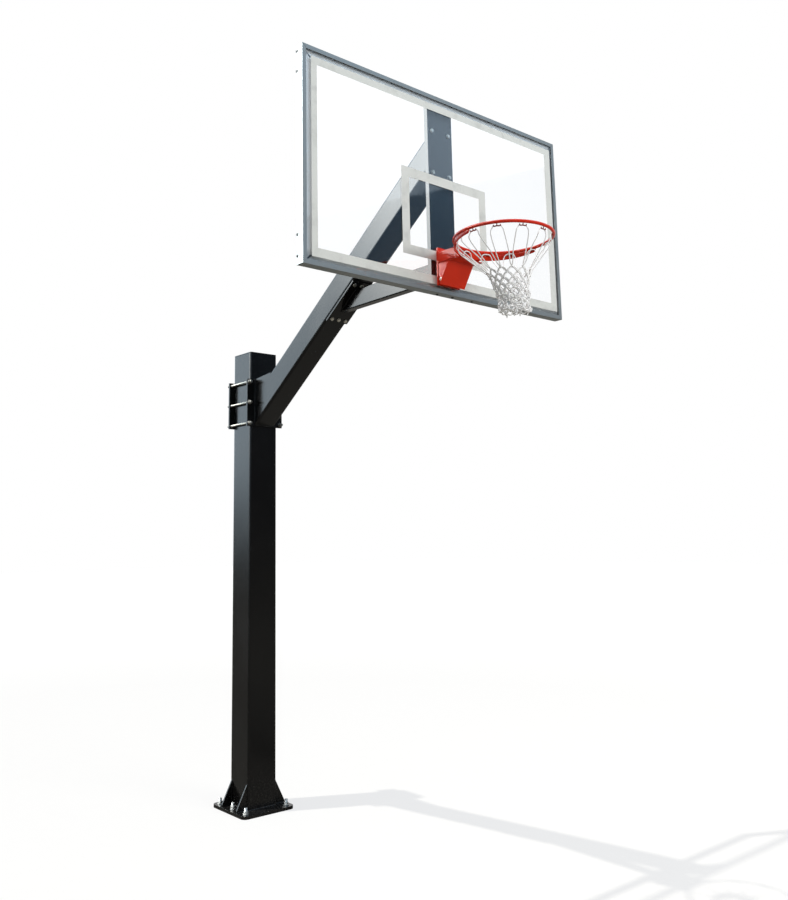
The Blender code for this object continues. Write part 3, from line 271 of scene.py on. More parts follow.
# Ring, hooks and curved strip; a hook's half is (sideways, up) points of its wire from the middle
RING_STEPS = 144
RING_SIDES = 20
HOOK_COUNT = 12
HOOK_TURN = 4.0
HOOK_INSET = 0.0075
HOOK_DROP = 0.0095
HOOK_WIRE = 0.0024
HOOK_HALF = (
    (0.0, 0.0), (0.006, -0.0006), (0.0112, -0.0012),
    (0.0152, 0.0002), (0.0166, 0.0036), (0.0150, 0.0066),
)
HOOK_STEM = 0.004
HOOK_STEM_LEAN = 0.0030
SKIRT_STEPS = 96
SKIRT_END_DEPTH = 0.016
SKIRT_HALF = 0.0025
SKIRT_END_RADIUS = 0.012
SKIRT_TIP = 0.0008
SKIRT_LAP = 0.0006
SKIRT_ROLL = 0.0012

# Net
CORD_RADIUS = 0.0036
LOOP_RADIUS = 0.2225
LOOP_Z = 3.0255
FIRST_KNOT_Z = 2.868
HEM_Z = 2.682
NET_ROWS = 9
NEAT_ROWS = 5
NEAT_SLACK = 0.0018
TANGLED_SLACK = 0.0070
WAIST_Z = 2.745
KNOT_RADIUS = 0.104
WAIST_RADIUS = 0.073
HEM_RADIUS = 0.068
SHOULDER_CURVE = 1.6
HEM_CURVE = 1.5
NET_LEAN = Vector((0.032, -0.026, 0))
TAIL_SIDE = Vector((-0.030, -2.265, 2.680))

# Net loops, as (sideways, outward, up) from the loop's crown, and places along the way to the knot
LOOP_CROWN_LIFT = 0.0006
LOOP_PRONG = (0.0140, 0.0, -0.0006)
LOOP_SHOULDER = (0.0245, 0.0, -0.0110)
LOOP_BOW = (0.0310, -0.006, -0.036)
LOOP_MIDDLE_SHARE = 0.50
LOOP_LOW_SHARE = 0.84
LOOP_SPREAD = 0.002
LOOP_SAG = 0.004

# Meshes and knots
NEAT_WANDER = 0.0010
TANGLED_WANDER = 0.0060
LEG_SPACING = 0.0026
LEG_CROSSING = 0.0014
LEG_UPPER = (0.28, 0.0052)
LEG_LOWER = (0.72, 0.0022)
KNOT_SIZE = 0.0025
KNOT_DEPTH = 1.4
KNOT_STEPS = 16
KNOT_ROPE_STEP = 0.0036

# Hem: least and greatest reach of its loose loops and tails
HEM_SCATTER = 0.006
HEM_DROP = (0.006, 0.016)
HEM_INWARD = (0.02, 0.05)
HEM_LIFT = UP * 0.014
TIP_SCATTER = 0.007
TIP_DROP = (0.008, 0.020)
TIP_BEND = Vector((0.0012, 0, 0))
TAIL_STEPS = Vector((0.002, -0.002, -0.024)), Vector((-0.003, 0.001, -0.044))


# Node helpers; those that start from a socket build in that socket's own tree

def node(tree, kind, **values):
    """Add a shader node; keyword values set its properties."""
    made = tree.nodes.new(kind)
    for name, value in values.items():
        setattr(made, name, value)
    return made


def feed(target, label, value):
    """Link a value to a node's input, or set that input to a number, vector or colour."""
    socket = target.inputs[label]
    if isinstance(value, (int, float)):
        socket.default_value = value
    elif isinstance(value, tuple):
        socket.default_value = (*value, 1.0) if socket.type == "RGBA" else value
    else:
        target.id_data.links.new(value, socket)


def new_group(name, inputs, outputs):
    """Shader node group with named float inputs (with defaults) and named float outputs."""
    group = bpy.data.node_groups.new(name, "ShaderNodeTree")
    for label, value in inputs.items():
        socket = group.interface.new_socket(label, in_out="INPUT", socket_type="NodeSocketFloat")
        socket.default_value = value
    for label in outputs:
        group.interface.new_socket(label, in_out="OUTPUT", socket_type="NodeSocketFloat")
    return group, node(group, "NodeGroupInput"), node(group, "NodeGroupOutput")


def maths(operation, first, second, clamp=False):
    made = node(first.id_data, "ShaderNodeMath", operation=operation, use_clamp=clamp)
    feed(made, 0, first)
    feed(made, 1, second)
    return made.outputs[0]


def dot_product(first, second):
    made = node(first.id_data, "ShaderNodeVectorMath", operation="DOT_PRODUCT")
    feed(made, 0, first)
    feed(made, 1, second)
    return made.outputs["Value"]


def split_axes(vector):
    """The X, Y and Z of a vector."""
    made = node(vector.id_data, "ShaderNodeSeparateXYZ")
    feed(made, 0, vector)
    return made.outputs[0], made.outputs[1], made.outputs[2]


def object_place(tree):
    return node(tree, "ShaderNodeTexCoord").outputs["Object"]


def ramp(value, low, high, out_low=0.0, out_high=1.0):
    """Map low..high to out_low..out_high, held at both ends."""
    made = node(value.id_data, "ShaderNodeMapRange")
    feed(made, "Value", value)
    feed(made, "From Min", low)
    feed(made, "From Max", high)
    feed(made, "To Min", out_low)
    feed(made, "To Max", out_high)
    return made.outputs["Result"]


def noise(coordinates, scale, detail=2.0, stretch=None):
    """Soft noise; stretch scales the coordinates along each axis."""
    if stretch:
        mapping = node(coordinates.id_data, "ShaderNodeMapping")
        feed(mapping, "Vector", coordinates)
        feed(mapping, "Scale", stretch)
        coordinates = mapping.outputs["Vector"]
    made = node(coordinates.id_data, "ShaderNodeTexNoise")
    feed(made, "Vector", coordinates)
    feed(made, "Scale", scale)
    feed(made, "Detail", detail)
    return made.outputs["Fac"]


def mix_colour(factor, first, second):
    made = node(factor.id_data, "ShaderNodeMix", data_type="RGBA")
    for socket, value in ((0, factor), (6, first), (7, second)):
        feed(made, socket, value)
    return made.outputs[2]


def make_coat_group():
    """Sprayed powder coat: orange-peel height and soft patches of haze."""
    inputs = {"Peel Scale": 420.0, "Patch Scale": 3.0}
    group, start, end = new_group("Powder coat", inputs, ("Height", "Patches"))
    place = object_place(group)
    feed(end, "Height", noise(place, start.outputs["Peel Scale"], detail=1.0))
    broad = noise(place, start.outputs["Patch Scale"], detail=4.0)
    feed(end, "Patches", ramp(broad, 0.35, 0.70))
    return group


def make_edge_group():
    """Edges rubbed by handling: a mask where the surface turns sharply, broken up by noise."""
    group, start, end = new_group("Rubbed edges", {"Width": 0.0015, "Amount": 1.0}, ("Mask",))
    bevel = node(group, "ShaderNodeBevel", samples=4)
    feed(bevel, "Radius", start.outputs["Width"])
    true_normal = node(group, "ShaderNodeNewGeometry").outputs["Normal"]
    edge = ramp(dot_product(bevel.outputs["Normal"], true_normal), 0.985, 0.90)
    broken = ramp(noise(object_place(group), 60.0, detail=3.0), 0.45, 0.62)
    worn = maths("MULTIPLY", edge, broken)
    feed(end, "Mask", maths("MULTIPLY", worn, start.outputs["Amount"], clamp=True))
    return group


def make_dust_group():
    """Dust that settles on surfaces that face up, and splash marks near the ground."""
    group, start, end = new_group("Dust", {"Amount": 0.5, "Splash Height": 0.35}, ("Mask",))
    normal = split_axes(node(group, "ShaderNodeNewGeometry").outputs["Normal"])
    up = ramp(normal[2], 0.2, 0.95)
    place = object_place(group)
    splash_height = start.outputs["Splash Height"]
    splash = ramp(split_axes(place)[2], 0.0, splash_height, out_low=0.8, out_high=0.0)
    speckle = ramp(noise(place, 90.0, detail=5.0), 0.45, 0.70)
    mask = maths("MULTIPLY", maths("MAXIMUM", up, splash), speckle)
    feed(end, "Mask", maths("MULTIPLY", mask, start.outputs["Amount"], clamp=True))
    return group


def place_group(tree, group, **values):
    made = node(tree, "ShaderNodeGroup", node_tree=group)
    for label, value in values.items():
        feed(made, label.replace("_", " ").title(), value)
    return made


# Materials

def new_material(name, roughness, metallic=0.0, specular=0.5):
    material = bpy.data.materials.new(name)
    material.use_nodes = True
    tree = material.node_tree
    shader = tree.nodes["Principled BSDF"]
    feed(shader, "Roughness", roughness)
    feed(shader, "Metallic", metallic)
    feed(shader, "Specular IOR Level", specular)
    return material, tree, shader


def add_bump(shader, height, strength, distance):
    bump = node(shader.id_data, "ShaderNodeBump")
    feed(bump, "Strength", strength)
    feed(bump, "Distance", distance)
    feed(bump, "Height", height)
    feed(shader, "Normal", bump.outputs["Normal"])


def coated_steel(name, tones, rubbed, roughness, specular, wear):
    """Powder-coated steel with haze patches, rubbed edges and dust."""
    material, tree, shader = new_material(name, roughness, specular=specular)
    coat = place_group(tree, COAT, peel_scale=380.0, patch_scale=2.2)
    edges = place_group(tree, EDGES, width=0.0018, amount=wear)
    dust = place_group(tree, DUST, amount=0.07).outputs["Mask"]
    patches = coat.outputs["Patches"]
    worn = mix_colour(edges.outputs["Mask"], mix_colour(patches, *tones), rubbed)
    feed(shader, "Base Color", mix_colour(dust, worn, COAT_DUST))
    rough = ramp(patches, 0.0, 1.0, out_low=roughness - 0.03, out_high=roughness + 0.04)
    dust_roughness = maths("MULTIPLY", dust, 0.3)
    feed(shader, "Roughness", maths("ADD", rough, dust_roughness, clamp=True))
    add_bump(shader, coat.outputs["Height"], strength=0.07, distance=0.0006)
    return material


def plated_steel(name, tones, roughness):
    """Zinc-plated or galvanised steel: faint spangle and dull patches."""
    material, tree, shader = new_material(name, roughness, metallic=1.0)
    place = object_place(tree)
    cells = node(tree, "ShaderNodeTexVoronoi")
    feed(cells, "Vector", place)
    feed(cells, "Scale", 240.0)
    cell_value = node(tree, "ShaderNodeSeparateColor")
    feed(cell_value, 0, cells.outputs["Color"])
    stain = ramp(noise(place, 35.0, detail=4.0), 0.4, 0.7)
    spangle = maths("MULTIPLY", cell_value.outputs[0], 0.3)
    mask = maths("ADD", maths("MULTIPLY", stain, 0.7), spangle)
    feed(shader, "Base Color", mix_colour(mask, *tones))
    feed(shader, "Roughness", ramp(mask, 0.0, 1.0, out_low=roughness, out_high=roughness + 0.22))
    add_bump(shader, noise(place, 900.0), strength=0.15, distance=0.0003)
    return material


def ledge_painted_light(place):
    """Mask of the ledge behind the glass, told from the rest by its depth, and its colour: pale as painted
    light where the lip keeps light off it, and darker towards the bottom rail as painted shade.
    """
    depth, height = split_axes(place)[1:]
    behind = ramp(depth, LEDGE_FRONT - LEDGE_MASK_NEAR, LEDGE_FRONT - LEDGE_MASK_START)
    before = ramp(depth, LEDGE_FRONT + LEDGE_MASK_NEAR, LEDGE_FRONT + LEDGE_MASK_FAR, 1.0, 0.0)
    low = ramp(height, FRAME_BOTTOM + LEDGE_LOW_START, FRAME_BOTTOM + LEDGE_LOW_END)
    return maths("MULTIPLY", behind, before), mix_colour(low, *LEDGE_LIGHT_AND_SHADE_TONES)


def anodised_aluminium():
    """Satin anodised extrusion with fine die lines along the rails and handling marks."""
    material, tree, shader = new_material("anodised_frame", 0.46, metallic=0.55)
    place = object_place(tree)
    lines = noise(place, 1.0, detail=3.0, stretch=(1.5, 900.0, 900.0))
    marks = ramp(noise(place, 7.0, detail=5.0), 0.42, 0.72)
    edges = place_group(tree, EDGES, width=0.0010, amount=0.3)
    dust = place_group(tree, DUST, amount=0.35, splash_height=0.001)
    # The ledge behind the glass gets painted light, with painted shade near the bottom rail
    ledge_mask, ledge_light_and_shade = ledge_painted_light(place)
    finish = mix_colour(ledge_mask, mix_colour(marks, *ANODISED_TONES), ledge_light_and_shade)
    worn = mix_colour(edges.outputs["Mask"], finish, FRAME_RUBBED)
    feed(shader, "Base Color", mix_colour(dust.outputs["Mask"], worn, FRAME_DUST))
    feed(shader, "Roughness", ramp(marks, 0.0, 1.0, out_low=0.42, out_high=0.56))
    add_bump(shader, lines, strength=0.08, distance=0.0004)
    return material


def clear_glass():
    """Tempered glass with wiped smears and specks."""
    material, tree, shader = new_material("clear_glass", 0.02)
    feed(shader, "Transmission Weight", 1.0)
    feed(shader, "IOR", 1.48)
    place = object_place(tree)
    smears = ramp(noise(place, 5.0, detail=6.0, stretch=(1.0, 1.0, 3.0)), 0.48, 0.75)
    specks = ramp(noise(place, 160.0), 0.68, 0.74)
    feed(shader, "Base Color", mix_colour(smears, *GLASS_TONES))
    smeared = maths("MULTIPLY", smears, 0.05)
    speckled = maths("MULTIPLY", specks, 0.10)
    feed(shader, "Roughness", maths("ADD", maths("MAXIMUM", smeared, speckled), 0.02))
    return material


def board_print():
    """White ceramic paint screened on the glass, with pin holes and grey scuffs."""
    material, tree, shader = new_material("board_print", 0.30)
    place = object_place(tree)
    scuff = ramp(noise(place, 14.0, detail=6.0), 0.50, 0.78)
    grain = ramp(noise(place, 600.0), 0.3, 0.8)
    tone = mix_colour(grain, *PRINT_TONES)
    feed(shader, "Base Color", mix_colour(scuff, tone, PRINT_SCUFF))
    feed(shader, "Roughness", ramp(scuff, 0.0, 1.0, out_low=0.26, out_high=0.50))
    add_bump(shader, grain, strength=0.06, distance=0.0002)
    return material


def rubber_material():
    """Grey gasket rubber with a cloudy bloom."""
    material, tree, shader = new_material("gasket_rubber", 0.75)
    place = object_place(tree)
    bloom = ramp(noise(place, 40.0, detail=4.0), 0.4, 0.7)
    feed(shader, "Base Color", mix_colour(bloom, *RUBBER_TONES))
    add_bump(shader, noise(place, 700.0), strength=0.2, distance=0.0004)
    return material


def cord_material():
    """White braided cord: yarn ridges, fuzz and patches of grime."""
    material, tree, shader = new_material("net_cord", 0.92, specular=0.2)
    place = object_place(tree)
    yarn = noise(place, 1400.0)
    grime = ramp(noise(place, 22.0, detail=5.0), 0.48, 0.75)
    tone = mix_colour(yarn, *CORD_TONES)
    feed(shader, "Base Color", mix_colour(maths("MULTIPLY", grime, 0.3), tone, CORD_GRIME))
    feed(shader, "Sheen Weight", 0.3)
    add_bump(shader, yarn, strength=0.35, distance=0.0006)
    return material


def floor_material():
    """Floor that is white where the camera sees it lit, also through the glass, and keeps the shadow."""
    material, tree, shader = new_material("studio_floor", 1.0, specular=0.0)
    place = object_place(tree)
    feed(shader, "Base Color", mix_colour(noise(place, 8.0), *FLOOR_TONES))
    glow = node(tree, "ShaderNodeEmission")
    feed(glow, "Color", FLOOR_GLOW)
    away = node(tree, "ShaderNodeVectorMath", operation="LENGTH")
    feed(away, 0, place)
    strength = ramp(away.outputs["Value"], FLOOR_NEAR, FLOOR_FAR, FLOOR_GLOW_NEAR, FLOOR_GLOW_FAR)
    feed(glow, "Strength", strength)
    glowing = node(tree, "ShaderNodeAddShader")
    feed(glowing, 0, shader.outputs[0])
    feed(glowing, 1, glow.outputs[0])
    path = node(tree, "ShaderNodeLightPath").outputs
    bounces = maths("ADD", path["Diffuse Depth"], path["Glossy Depth"])
    unscattered = maths("LESS_THAN", bounces, ONE_BOUNCE)
    through = maths("MULTIPLY", path["Is Transmission Ray"], unscattered)
    choose = node(tree, "ShaderNodeMixShader")
    feed(choose, 0, maths("MAXIMUM", path["Is Camera Ray"], through))
    feed(choose, 1, shader.outputs[0])
    feed(choose, 2, glowing.outputs[0])
    feed(tree.nodes["Material Output"], "Surface", choose.outputs[0])
    return material


COAT = make_coat_group()
EDGES = make_edge_group()
DUST = make_dust_group()
BLACK = coated_steel("black_powder_coat", BLACK_TONES, BLACK_RUBBED, 0.19, specular=0.27, wear=0.25)
RED = coated_steel("red_powder_coat", RED_TONES, RED_RUBBED, 0.28, specular=0.26, wear=0.35)
# Darker copy of the red coat for the hooks: painted shade
SHADED_WIRE_RED = coated_steel("red_wire_painted_shade", SHADED_WIRE_TONES, SHADED_WIRE_RUBBED, 0.34, specular=0.20, wear=0.20)
FRAME_METAL = anodised_aluminium()
GLASS = clear_glass()
PRINT = board_print()
RUBBER = rubber_material()
BRIGHT = plated_steel("zinc_plated", ZINC_TONES, roughness=0.34)
ROD_METAL = plated_steel("zinc_rod", ROD_TONES, roughness=0.38)
NUT_METAL = plated_steel("zinc_nut", NUT_TONES, roughness=0.42)
GALVANISED = plated_steel("galvanised", GALVANISED_TONES, roughness=0.38)
SPRING = plated_steel("spring_wire", SPRING_TONES, roughness=0.30)
CORD = cord_material()


# Objects and meshes

def new_object(name, data):
    made = bpy.data.objects.new(name, data)
    bpy.context.scene.collection.objects.link(made)
    return made


def mesh_from(name, shape, smooth_angle):
    bmesh.ops.recalc_face_normals(shape, faces=shape.faces)
    mesh = bpy.data.meshes.new(name)
    shape.to_mesh(mesh)
    shape.free()
    mesh.shade_smooth()
    mesh.set_sharp_from_angle(angle=math.radians(smooth_angle))
    return mesh


def link(mesh, material, body, replaced=()):
    """Put a finished mesh in the scene under its own name, riding on its body."""
    mesh.materials.append(material)
    piece = new_object(mesh.name, mesh)
    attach(piece, body)
    if replaced:
        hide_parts(*replaced)
    return piece


def level_normals(mesh):
    """Lead each corner's normal by the largest face beside it, so that flat faces stay flat in gloss."""
    beside = [[] for _ in mesh.vertices]
    for face in mesh.polygons:
        for vertex in face.vertices:
            beside[vertex].append(face)
    normals = []
    for face in mesh.polygons:
        for vertex in face.vertices:
            total = Vector()
            for other in beside[vertex]:
                if other.normal.dot(face.normal) > ROUNDED_TURN:
                    total += other.normal * other.area
            normals.append(total.normalized())
    mesh.normals_split_custom_set(normals)


def bridge(shape, low, high):
    count = len(low)
    for here in range(count):
        after = (here + 1) % count
        shape.faces.new((low[here], low[after], high[after], high[here]))


def add_loft(shape, loops, cyclic=False):
    """Skin through loops of equal length; open ends are capped."""
    rows = [[shape.verts.new(point) for point in loop] for loop in loops]
    for low, high in zip(rows, rows[1:]):
        bridge(shape, low, high)
    if cyclic:
        bridge(shape, rows[-1], rows[0])
    else:
        shape.faces.new(rows[0])
        shape.faces.new(rows[-1])


def add_lathe(shape, sections, origin, direction, sides=24):
    """Turned body from (distance, radius, corner count) sections; six corners make a hexagon."""
    turn = UP.rotation_difference(Vector(direction)).to_matrix().to_4x4()
    placed = Matrix.Translation(origin) @ turn
    loops = []
    for distance, radius, corners in sections:
        loop = []
        for side in range(sides):
            angle = 2 * math.pi * side / sides
            reach = radius
            if corners:
                part = angle % (2 * math.pi / corners) - math.pi / corners
                reach = radius * math.cos(math.pi / corners) / math.cos(part)
            loop.append(placed @ Vector((reach * math.cos(angle), reach * math.sin(angle), distance)))
        loops.append(loop)
    add_loft(shape, loops)


def smooth_path(points, step):
    """Catmull-Rom curve through the points, sampled about every step metres."""
    padded = [2 * points[0] - points[1]] + points + [2 * points[-1] - points[-2]]
    path = []
    for index in range(len(points) - 1):
        a, b, c, d = padded[index:index + 4]
        count = max(int((c - b).length / step), 1)
        for part in range(count):
            t = part / count
            linear = (c - a) * t
            square = (2 * a - 5 * b + 4 * c - d) * t ** 2
            cube = (3 * b - a - 3 * c + d) * t ** 3
            path.append(0.5 * (2 * b + linear + square + cube))
    path.append(points[-1])
    return path


def add_sweep(shape, path, reach, sides, cyclic=False):
    """Tube along a path; reach gives the radius from the run so far and the angle."""
    normal = None
    run = 0.0
    loops = []
    last = len(path) - 1
    for index, point in enumerate(path):
        before = path[index - 1] if index > 0 or cyclic else point
        after = path[(index + 1) % len(path)] if index < last or cyclic else point
        along = (after - before).normalized()
        if normal is None:
            normal = along.orthogonal().normalized()
        normal = (normal - along * normal.dot(along)).normalized()
        across = along.cross(normal)
        if index > 0:
            run += (point - path[index - 1]).length
        loop = []
        for side in range(sides):
            angle = 2 * math.pi * side / sides
            offset = math.cos(angle) * normal + math.sin(angle) * across
            loop.append(point + reach(run, angle) * offset)
        loops.append(loop)
    add_loft(shape, loops, cyclic)


def add_tube(shape, points, radius, sides, step):
    add_sweep(shape, smooth_path(points, step), lambda run, angle: radius, sides)


def add_rope(shape, points, thickness=1.0, step=0.0032, strands=3, lay=0.016, lobe=0.10):
    """Cord of twisted strands, as one lobed tube whose lobes turn along its path."""
    radius = CORD_RADIUS * thickness

    def reach(run, angle):
        return radius * (1 + lobe * math.cos(strands * (angle - 2 * math.pi * run / lay)))

    add_sweep(shape, smooth_path(points, step), reach, sides=9)


def add_weld(shape, points, radius, ripple=0.0034, depth=0.14):
    """Weld bead: a tube with a ripple for each pass of the torch."""

    def reach(run, angle):
        return radius * (1 - depth + depth * abs(math.sin(math.pi * run / ripple)))

    path = []
    for start, end in zip(points, points[1:]):
        count = max(int((end - start).length / (ripple / 3)), 1)
        path += [start.lerp(end, part / count) for part in range(count)]
    path.append(points[-1])
    add_sweep(shape, path, reach, sides=6)


# Dressed plates and rails

def widen_ledge(shape):
    """Move the inner edge of the left rail's ledge toward the middle of the board."""
    edge = LEDGE_INSET - FRAME_HALF
    for vertex in shape.verts:
        if abs(vertex.co.x - edge) < LEDGE_TOLERANCE:
            vertex.co.x += LEDGE_WIDENING


def dress(name, body, material, rounding):
    """Copy of a CAD node with its flat faces joined and its edges broken by a small round."""
    shape = bmesh.new()
    shape.from_mesh(NODES[name].data)
    if name == "frame_rail_left":
        widen_ledge(shape)
    bmesh.ops.remove_doubles(shape, verts=shape.verts, dist=MERGE_DISTANCE)
    flat = math.radians(FLAT_ANGLE)
    bmesh.ops.dissolve_limit(shape, angle_limit=flat, verts=shape.verts, edges=shape.edges)
    sharp = []
    for edge in shape.edges:
        if len(edge.link_faces) == 2 and edge.calc_face_angle() > math.radians(SHARP_ANGLE):
            sharp.append(edge)
    bmesh.ops.bevel(
        shape,
        geom=sharp,
        offset=rounding,
        offset_type="OFFSET",
        segments=2,
        profile=0.5,
        affect="EDGES",
        clamp_overlap=True,
    )
    mesh = mesh_from(name + "_dressed", shape, smooth_angle=40.0)
    level_normals(mesh)
    link(mesh, material, body, (name,))


def dress_plates():
    """Dress the plates, rails and sheet parts, and give the nodes that stay their materials."""
    for name, rounding in PLATE_EDGES.items():
        dress(name, STAND, BLACK, rounding)
    for side in ("bottom", "top", "left", "right"):
        dress("frame_rail_" + side, STAND, FRAME_METAL, RAIL_EDGE)
    dress("rim_mount_plate", STAND, RED, MOUNT_PLATE_EDGE)
    dress("rim_carrier", RIM, RED, CARRIER_EDGE)
    dress("rim_cover", RIM, RED, COVER_EDGE)
    kept = {
        "pole_tube": BLACK,
        "extension_arm": BLACK,
        "brace_tube": BLACK,
        "backboard_glass": GLASS,
        "glass_gasket": RUBBER,
        "rim_pivot_pin": BRIGHT,
        "rim_spring_rod": BRIGHT,
        "rim_spring": SPRING,
    }
    for name, material in kept.items():
        NODES[name].material_slots[0].material = material
    NODES["backboard_glass"].visible_shadow = False


def add_band(name, outer, inner):
    """Painted band on the glass between two boxes, each (low x, low z, high x, high z)."""
    front = GLASS_FRONT - PRINT_THICKNESS
    back = GLASS_FRONT - PRINT_THICKNESS / 4
    loops = []
    for (low_x, low_z, high_x, high_z), y in ((outer, front), (outer, back), (inner, back), (inner, front)):
        corners = ((low_x, low_z), (high_x, low_z), (high_x, high_z), (low_x, high_z))
        loops.append([Vector((x, y, z)) for x, z in corners])
    shape = bmesh.new()
    add_loft(shape, loops, cyclic=True)
    band = link(mesh_from(name, shape, smooth_angle=35.0), PRINT, STAND)
    band.visible_shadow = False


def add_print():
    """Border and target screened on the front of the glass."""
    outer_low = (BORDER_OUTER_LEFT - FRAME_HALF, FRAME_BOTTOM + BORDER_OUTER_BOTTOM)
    outer_high = (FRAME_HALF - BORDER_OUTER_RIGHT, FRAME_TOP - BORDER_OUTER_TOP)
    inner_x = FRAME_HALF - BORDER_INNER_INSET
    inner = (-inner_x, FRAME_BOTTOM + BORDER_INNER_INSET, inner_x, FRAME_TOP - BORDER_INNER_INSET)
    add_band("board_border", outer_low + outer_high, inner)
    half = TARGET_WIDTH / 2
    clear = half - TARGET_LINE
    top = TARGET_BOTTOM + TARGET_HEIGHT
    opening = (-clear, TARGET_BOTTOM + TARGET_LINE, clear, top - TARGET_LINE)
    add_band("board_target", (-half, TARGET_BOTTOM, half, top), opening)


# Fasteners

def thread(start, end, radius, pitch=0.0022, depth=0.0007):
    """Ridges of a rolled thread as lathe sections from start to end."""
    sections = []
    turns = max(int(abs(end - start) / pitch), 1)
    for turn in range(turns):
        near = start + (end - start) * turn / turns
        mid = start + (end - start) * (turn + 0.5) / turns
        sections.append((near, radius - depth, 0))
        sections.append((mid, radius, 0))
    sections.append((end, radius - depth, 0))
    return sections


def hexagon(start, end, radius, chamfer_share=0.12, face_share=0.88):
    """Chamfered hexagon as lathe sections."""
    chamfer = (end - start) * chamfer_share
    return [
        (start, radius * face_share, 0),
        (start + chamfer, radius, HEX),
        (end - chamfer, radius, HEX),
        (end, radius * face_share, 0),
    ]


def washer(start, end, radius, edge=0.0004, inner_share=0.7):
    """Washer with one broken edge as lathe sections."""
    rim = [(start, radius - edge, 0), (start + edge, radius, 0), (end, radius, 0)]
    return rim + [(end, radius * inner_share, 0)]


def mirrored(sections, length):
    """The same sections seen from the other end of a rod."""
    return [(length - distance, radius, corners) for distance, radius, corners in reversed(sections)]


def node_axis(name, direction):
    """Start point and length of a straight CAD rod along a direction."""
    along = Vector(direction).normalized()
    side = along.orthogonal().normalized()
    other = along.cross(side)
    places = [vertex.co for vertex in NODES[name].data.vertices]
    spans = []
    for axis in (along, side, other):
        reaches = [place.dot(axis) for place in places]
        spans.append((min(reaches), max(reaches)))
    middle = sum(spans[1]) / 2 * side + sum(spans[2]) / 2 * other
    return middle + along * spans[0][0], spans[0][1] - spans[0][0]


def link_steel(name, shape, material, replaced=()):
    """Put turned steelwork in the scene, on the stand."""
    link(mesh_from(name, shape, smooth_angle=32.0), material, STAND, replaced)


def bolt_sections(length):
    """Hexagon bolt with washers, shank, nut and thread, from its head to its tip."""
    nut_low = length - BOLT_NUT_SIDE
    nut_face = nut_low + BOLT_WASHER_THICKNESS
    tip = length - BOLT_TIP
    sections = [BOLT_FACE] + hexagon(BOLT_HEAD_START, BOLT_HEAD_END, BOLT_HEAD_RADIUS)
    sections += washer(BOLT_HEAD_END, BOLT_SHANK_START, BOLT_WASHER_RADIUS)
    sections += [(BOLT_SHANK_START, BOLT_SHANK_RADIUS, 0), (nut_low, BOLT_SHANK_RADIUS, 0)]
    sections += washer(nut_low, nut_face, BOLT_WASHER_RADIUS)
    return sections + hexagon(nut_face, tip, BOLT_HEAD_RADIUS) + thread(tip, length, BOLT_THREAD_RADIUS)


def add_bolts():
    """Detailed bolts in place of the plain CAD bolts; the foot bolts stand square to the arm."""
    for stem, count in BOLT_GROUPS:
        direction = (0, ARM_SIN, ARM_COS) if stem == "foot_bolt_" else (0, 1, 0)
        for number in range(1, count + 1):
            name = stem + str(number)
            start, length = node_axis(name, direction)
            shape = bmesh.new()
            add_lathe(shape, bolt_sections(length), start, direction)
            link_steel(name + "_steel", shape, BRIGHT, (name,))


def add_clamp_rods():
    """Threaded clamp rods, and their nuts and washers as one piece."""
    nuts = bmesh.new()
    nut = hexagon(*CLAMP_NUT) + washer(*CLAMP_WASHER)
    end_part = thread(*CLAMP_THREAD)
    for number in ROD_NUMBERS:
        name = "clamp_rod_%d" % number
        start, length = node_axis(name, (0, 1, 0))
        shape = bmesh.new()
        add_lathe(shape, end_part + mirrored(end_part, length), start, (0, 1, 0))
        link_steel(name + "_steel", shape, ROD_METAL, (name,))
        add_lathe(nuts, nut, start, (0, 1, 0))
        add_lathe(nuts, mirrored(nut, length), start, (0, 1, 0))
    link_steel("clamp_nuts", nuts, NUT_METAL)


def add_anchors():
    """Anchor rods: hook below the ground, washer, nut and thread above the plate."""
    for number in ROD_NUMBERS:
        name = "anchor_bolt_%d" % number
        low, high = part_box(name)
        side = 1 if high.x > 0 else -1
        outer_x, inner_x = (high.x, low.x) if side > 0 else (low.x, high.x)
        x = outer_x - side * ANCHOR_INSET
        y = (low.y + high.y) / 2
        z = low.z + ANCHOR_AXIS_LIFT
        places = (
            (inner_x + side * ANCHOR_END_TRIM, z),
            (x - side * ANCHOR_BEND, z),
            (x - side * ANCHOR_BEND_MIDDLE, z + ANCHOR_BEND_MIDDLE),
            (x, z + ANCHOR_BEND),
            (x, PLATE_TOP),
        )
        path = [Vector((across, y, height)) for across, height in places]
        shape = bmesh.new()
        add_tube(shape, path, ANCHOR_RADIUS, sides=16, step=0.004)
        base = Vector((x, y, PLATE_TOP + ANCHOR_LIFT))
        sections = washer(*ANCHOR_WASHER) + hexagon(*ANCHOR_NUT)
        sections += thread(ANCHOR_NUT_TOP, high.z - base.z, ANCHOR_THREAD_RADIUS)
        add_lathe(shape, sections, base, UP)
        link_steel(name + "_steel", shape, GALVANISED, (name,))


def add_screws():
    """Frame corner screws on both sides, and pan heads under the bottom rail."""
    heights = [FRAME_TOP - drop for drop in SIDE_SCREWS_BELOW_TOP]
    heights += [FRAME_BOTTOM + rise for rise in SIDE_SCREWS_ABOVE_BOTTOM]
    corner = bmesh.new()
    for side in (-1, 1):
        for z in heights:
            place = Vector((side * FRAME_HALF, FRAME_FRONT + SIDE_SCREW_DEPTH, z))
            add_lathe(corner, SIDE_SCREW, place, (side, 0, 0))
    lower = bmesh.new()
    for x in RAIL_SCREW_X:
        place = Vector((x, FRAME_FRONT + RAIL_SCREW_DEPTH, FRAME_BOTTOM))
        add_lathe(lower, RAIL_SCREW, place, -UP)
    for name, shape in (("frame_corner_screws", corner), ("lower_rail_screws", lower)):
        link(mesh_from(name, shape, smooth_angle=30.0), BLACK, STAND)


# Welds

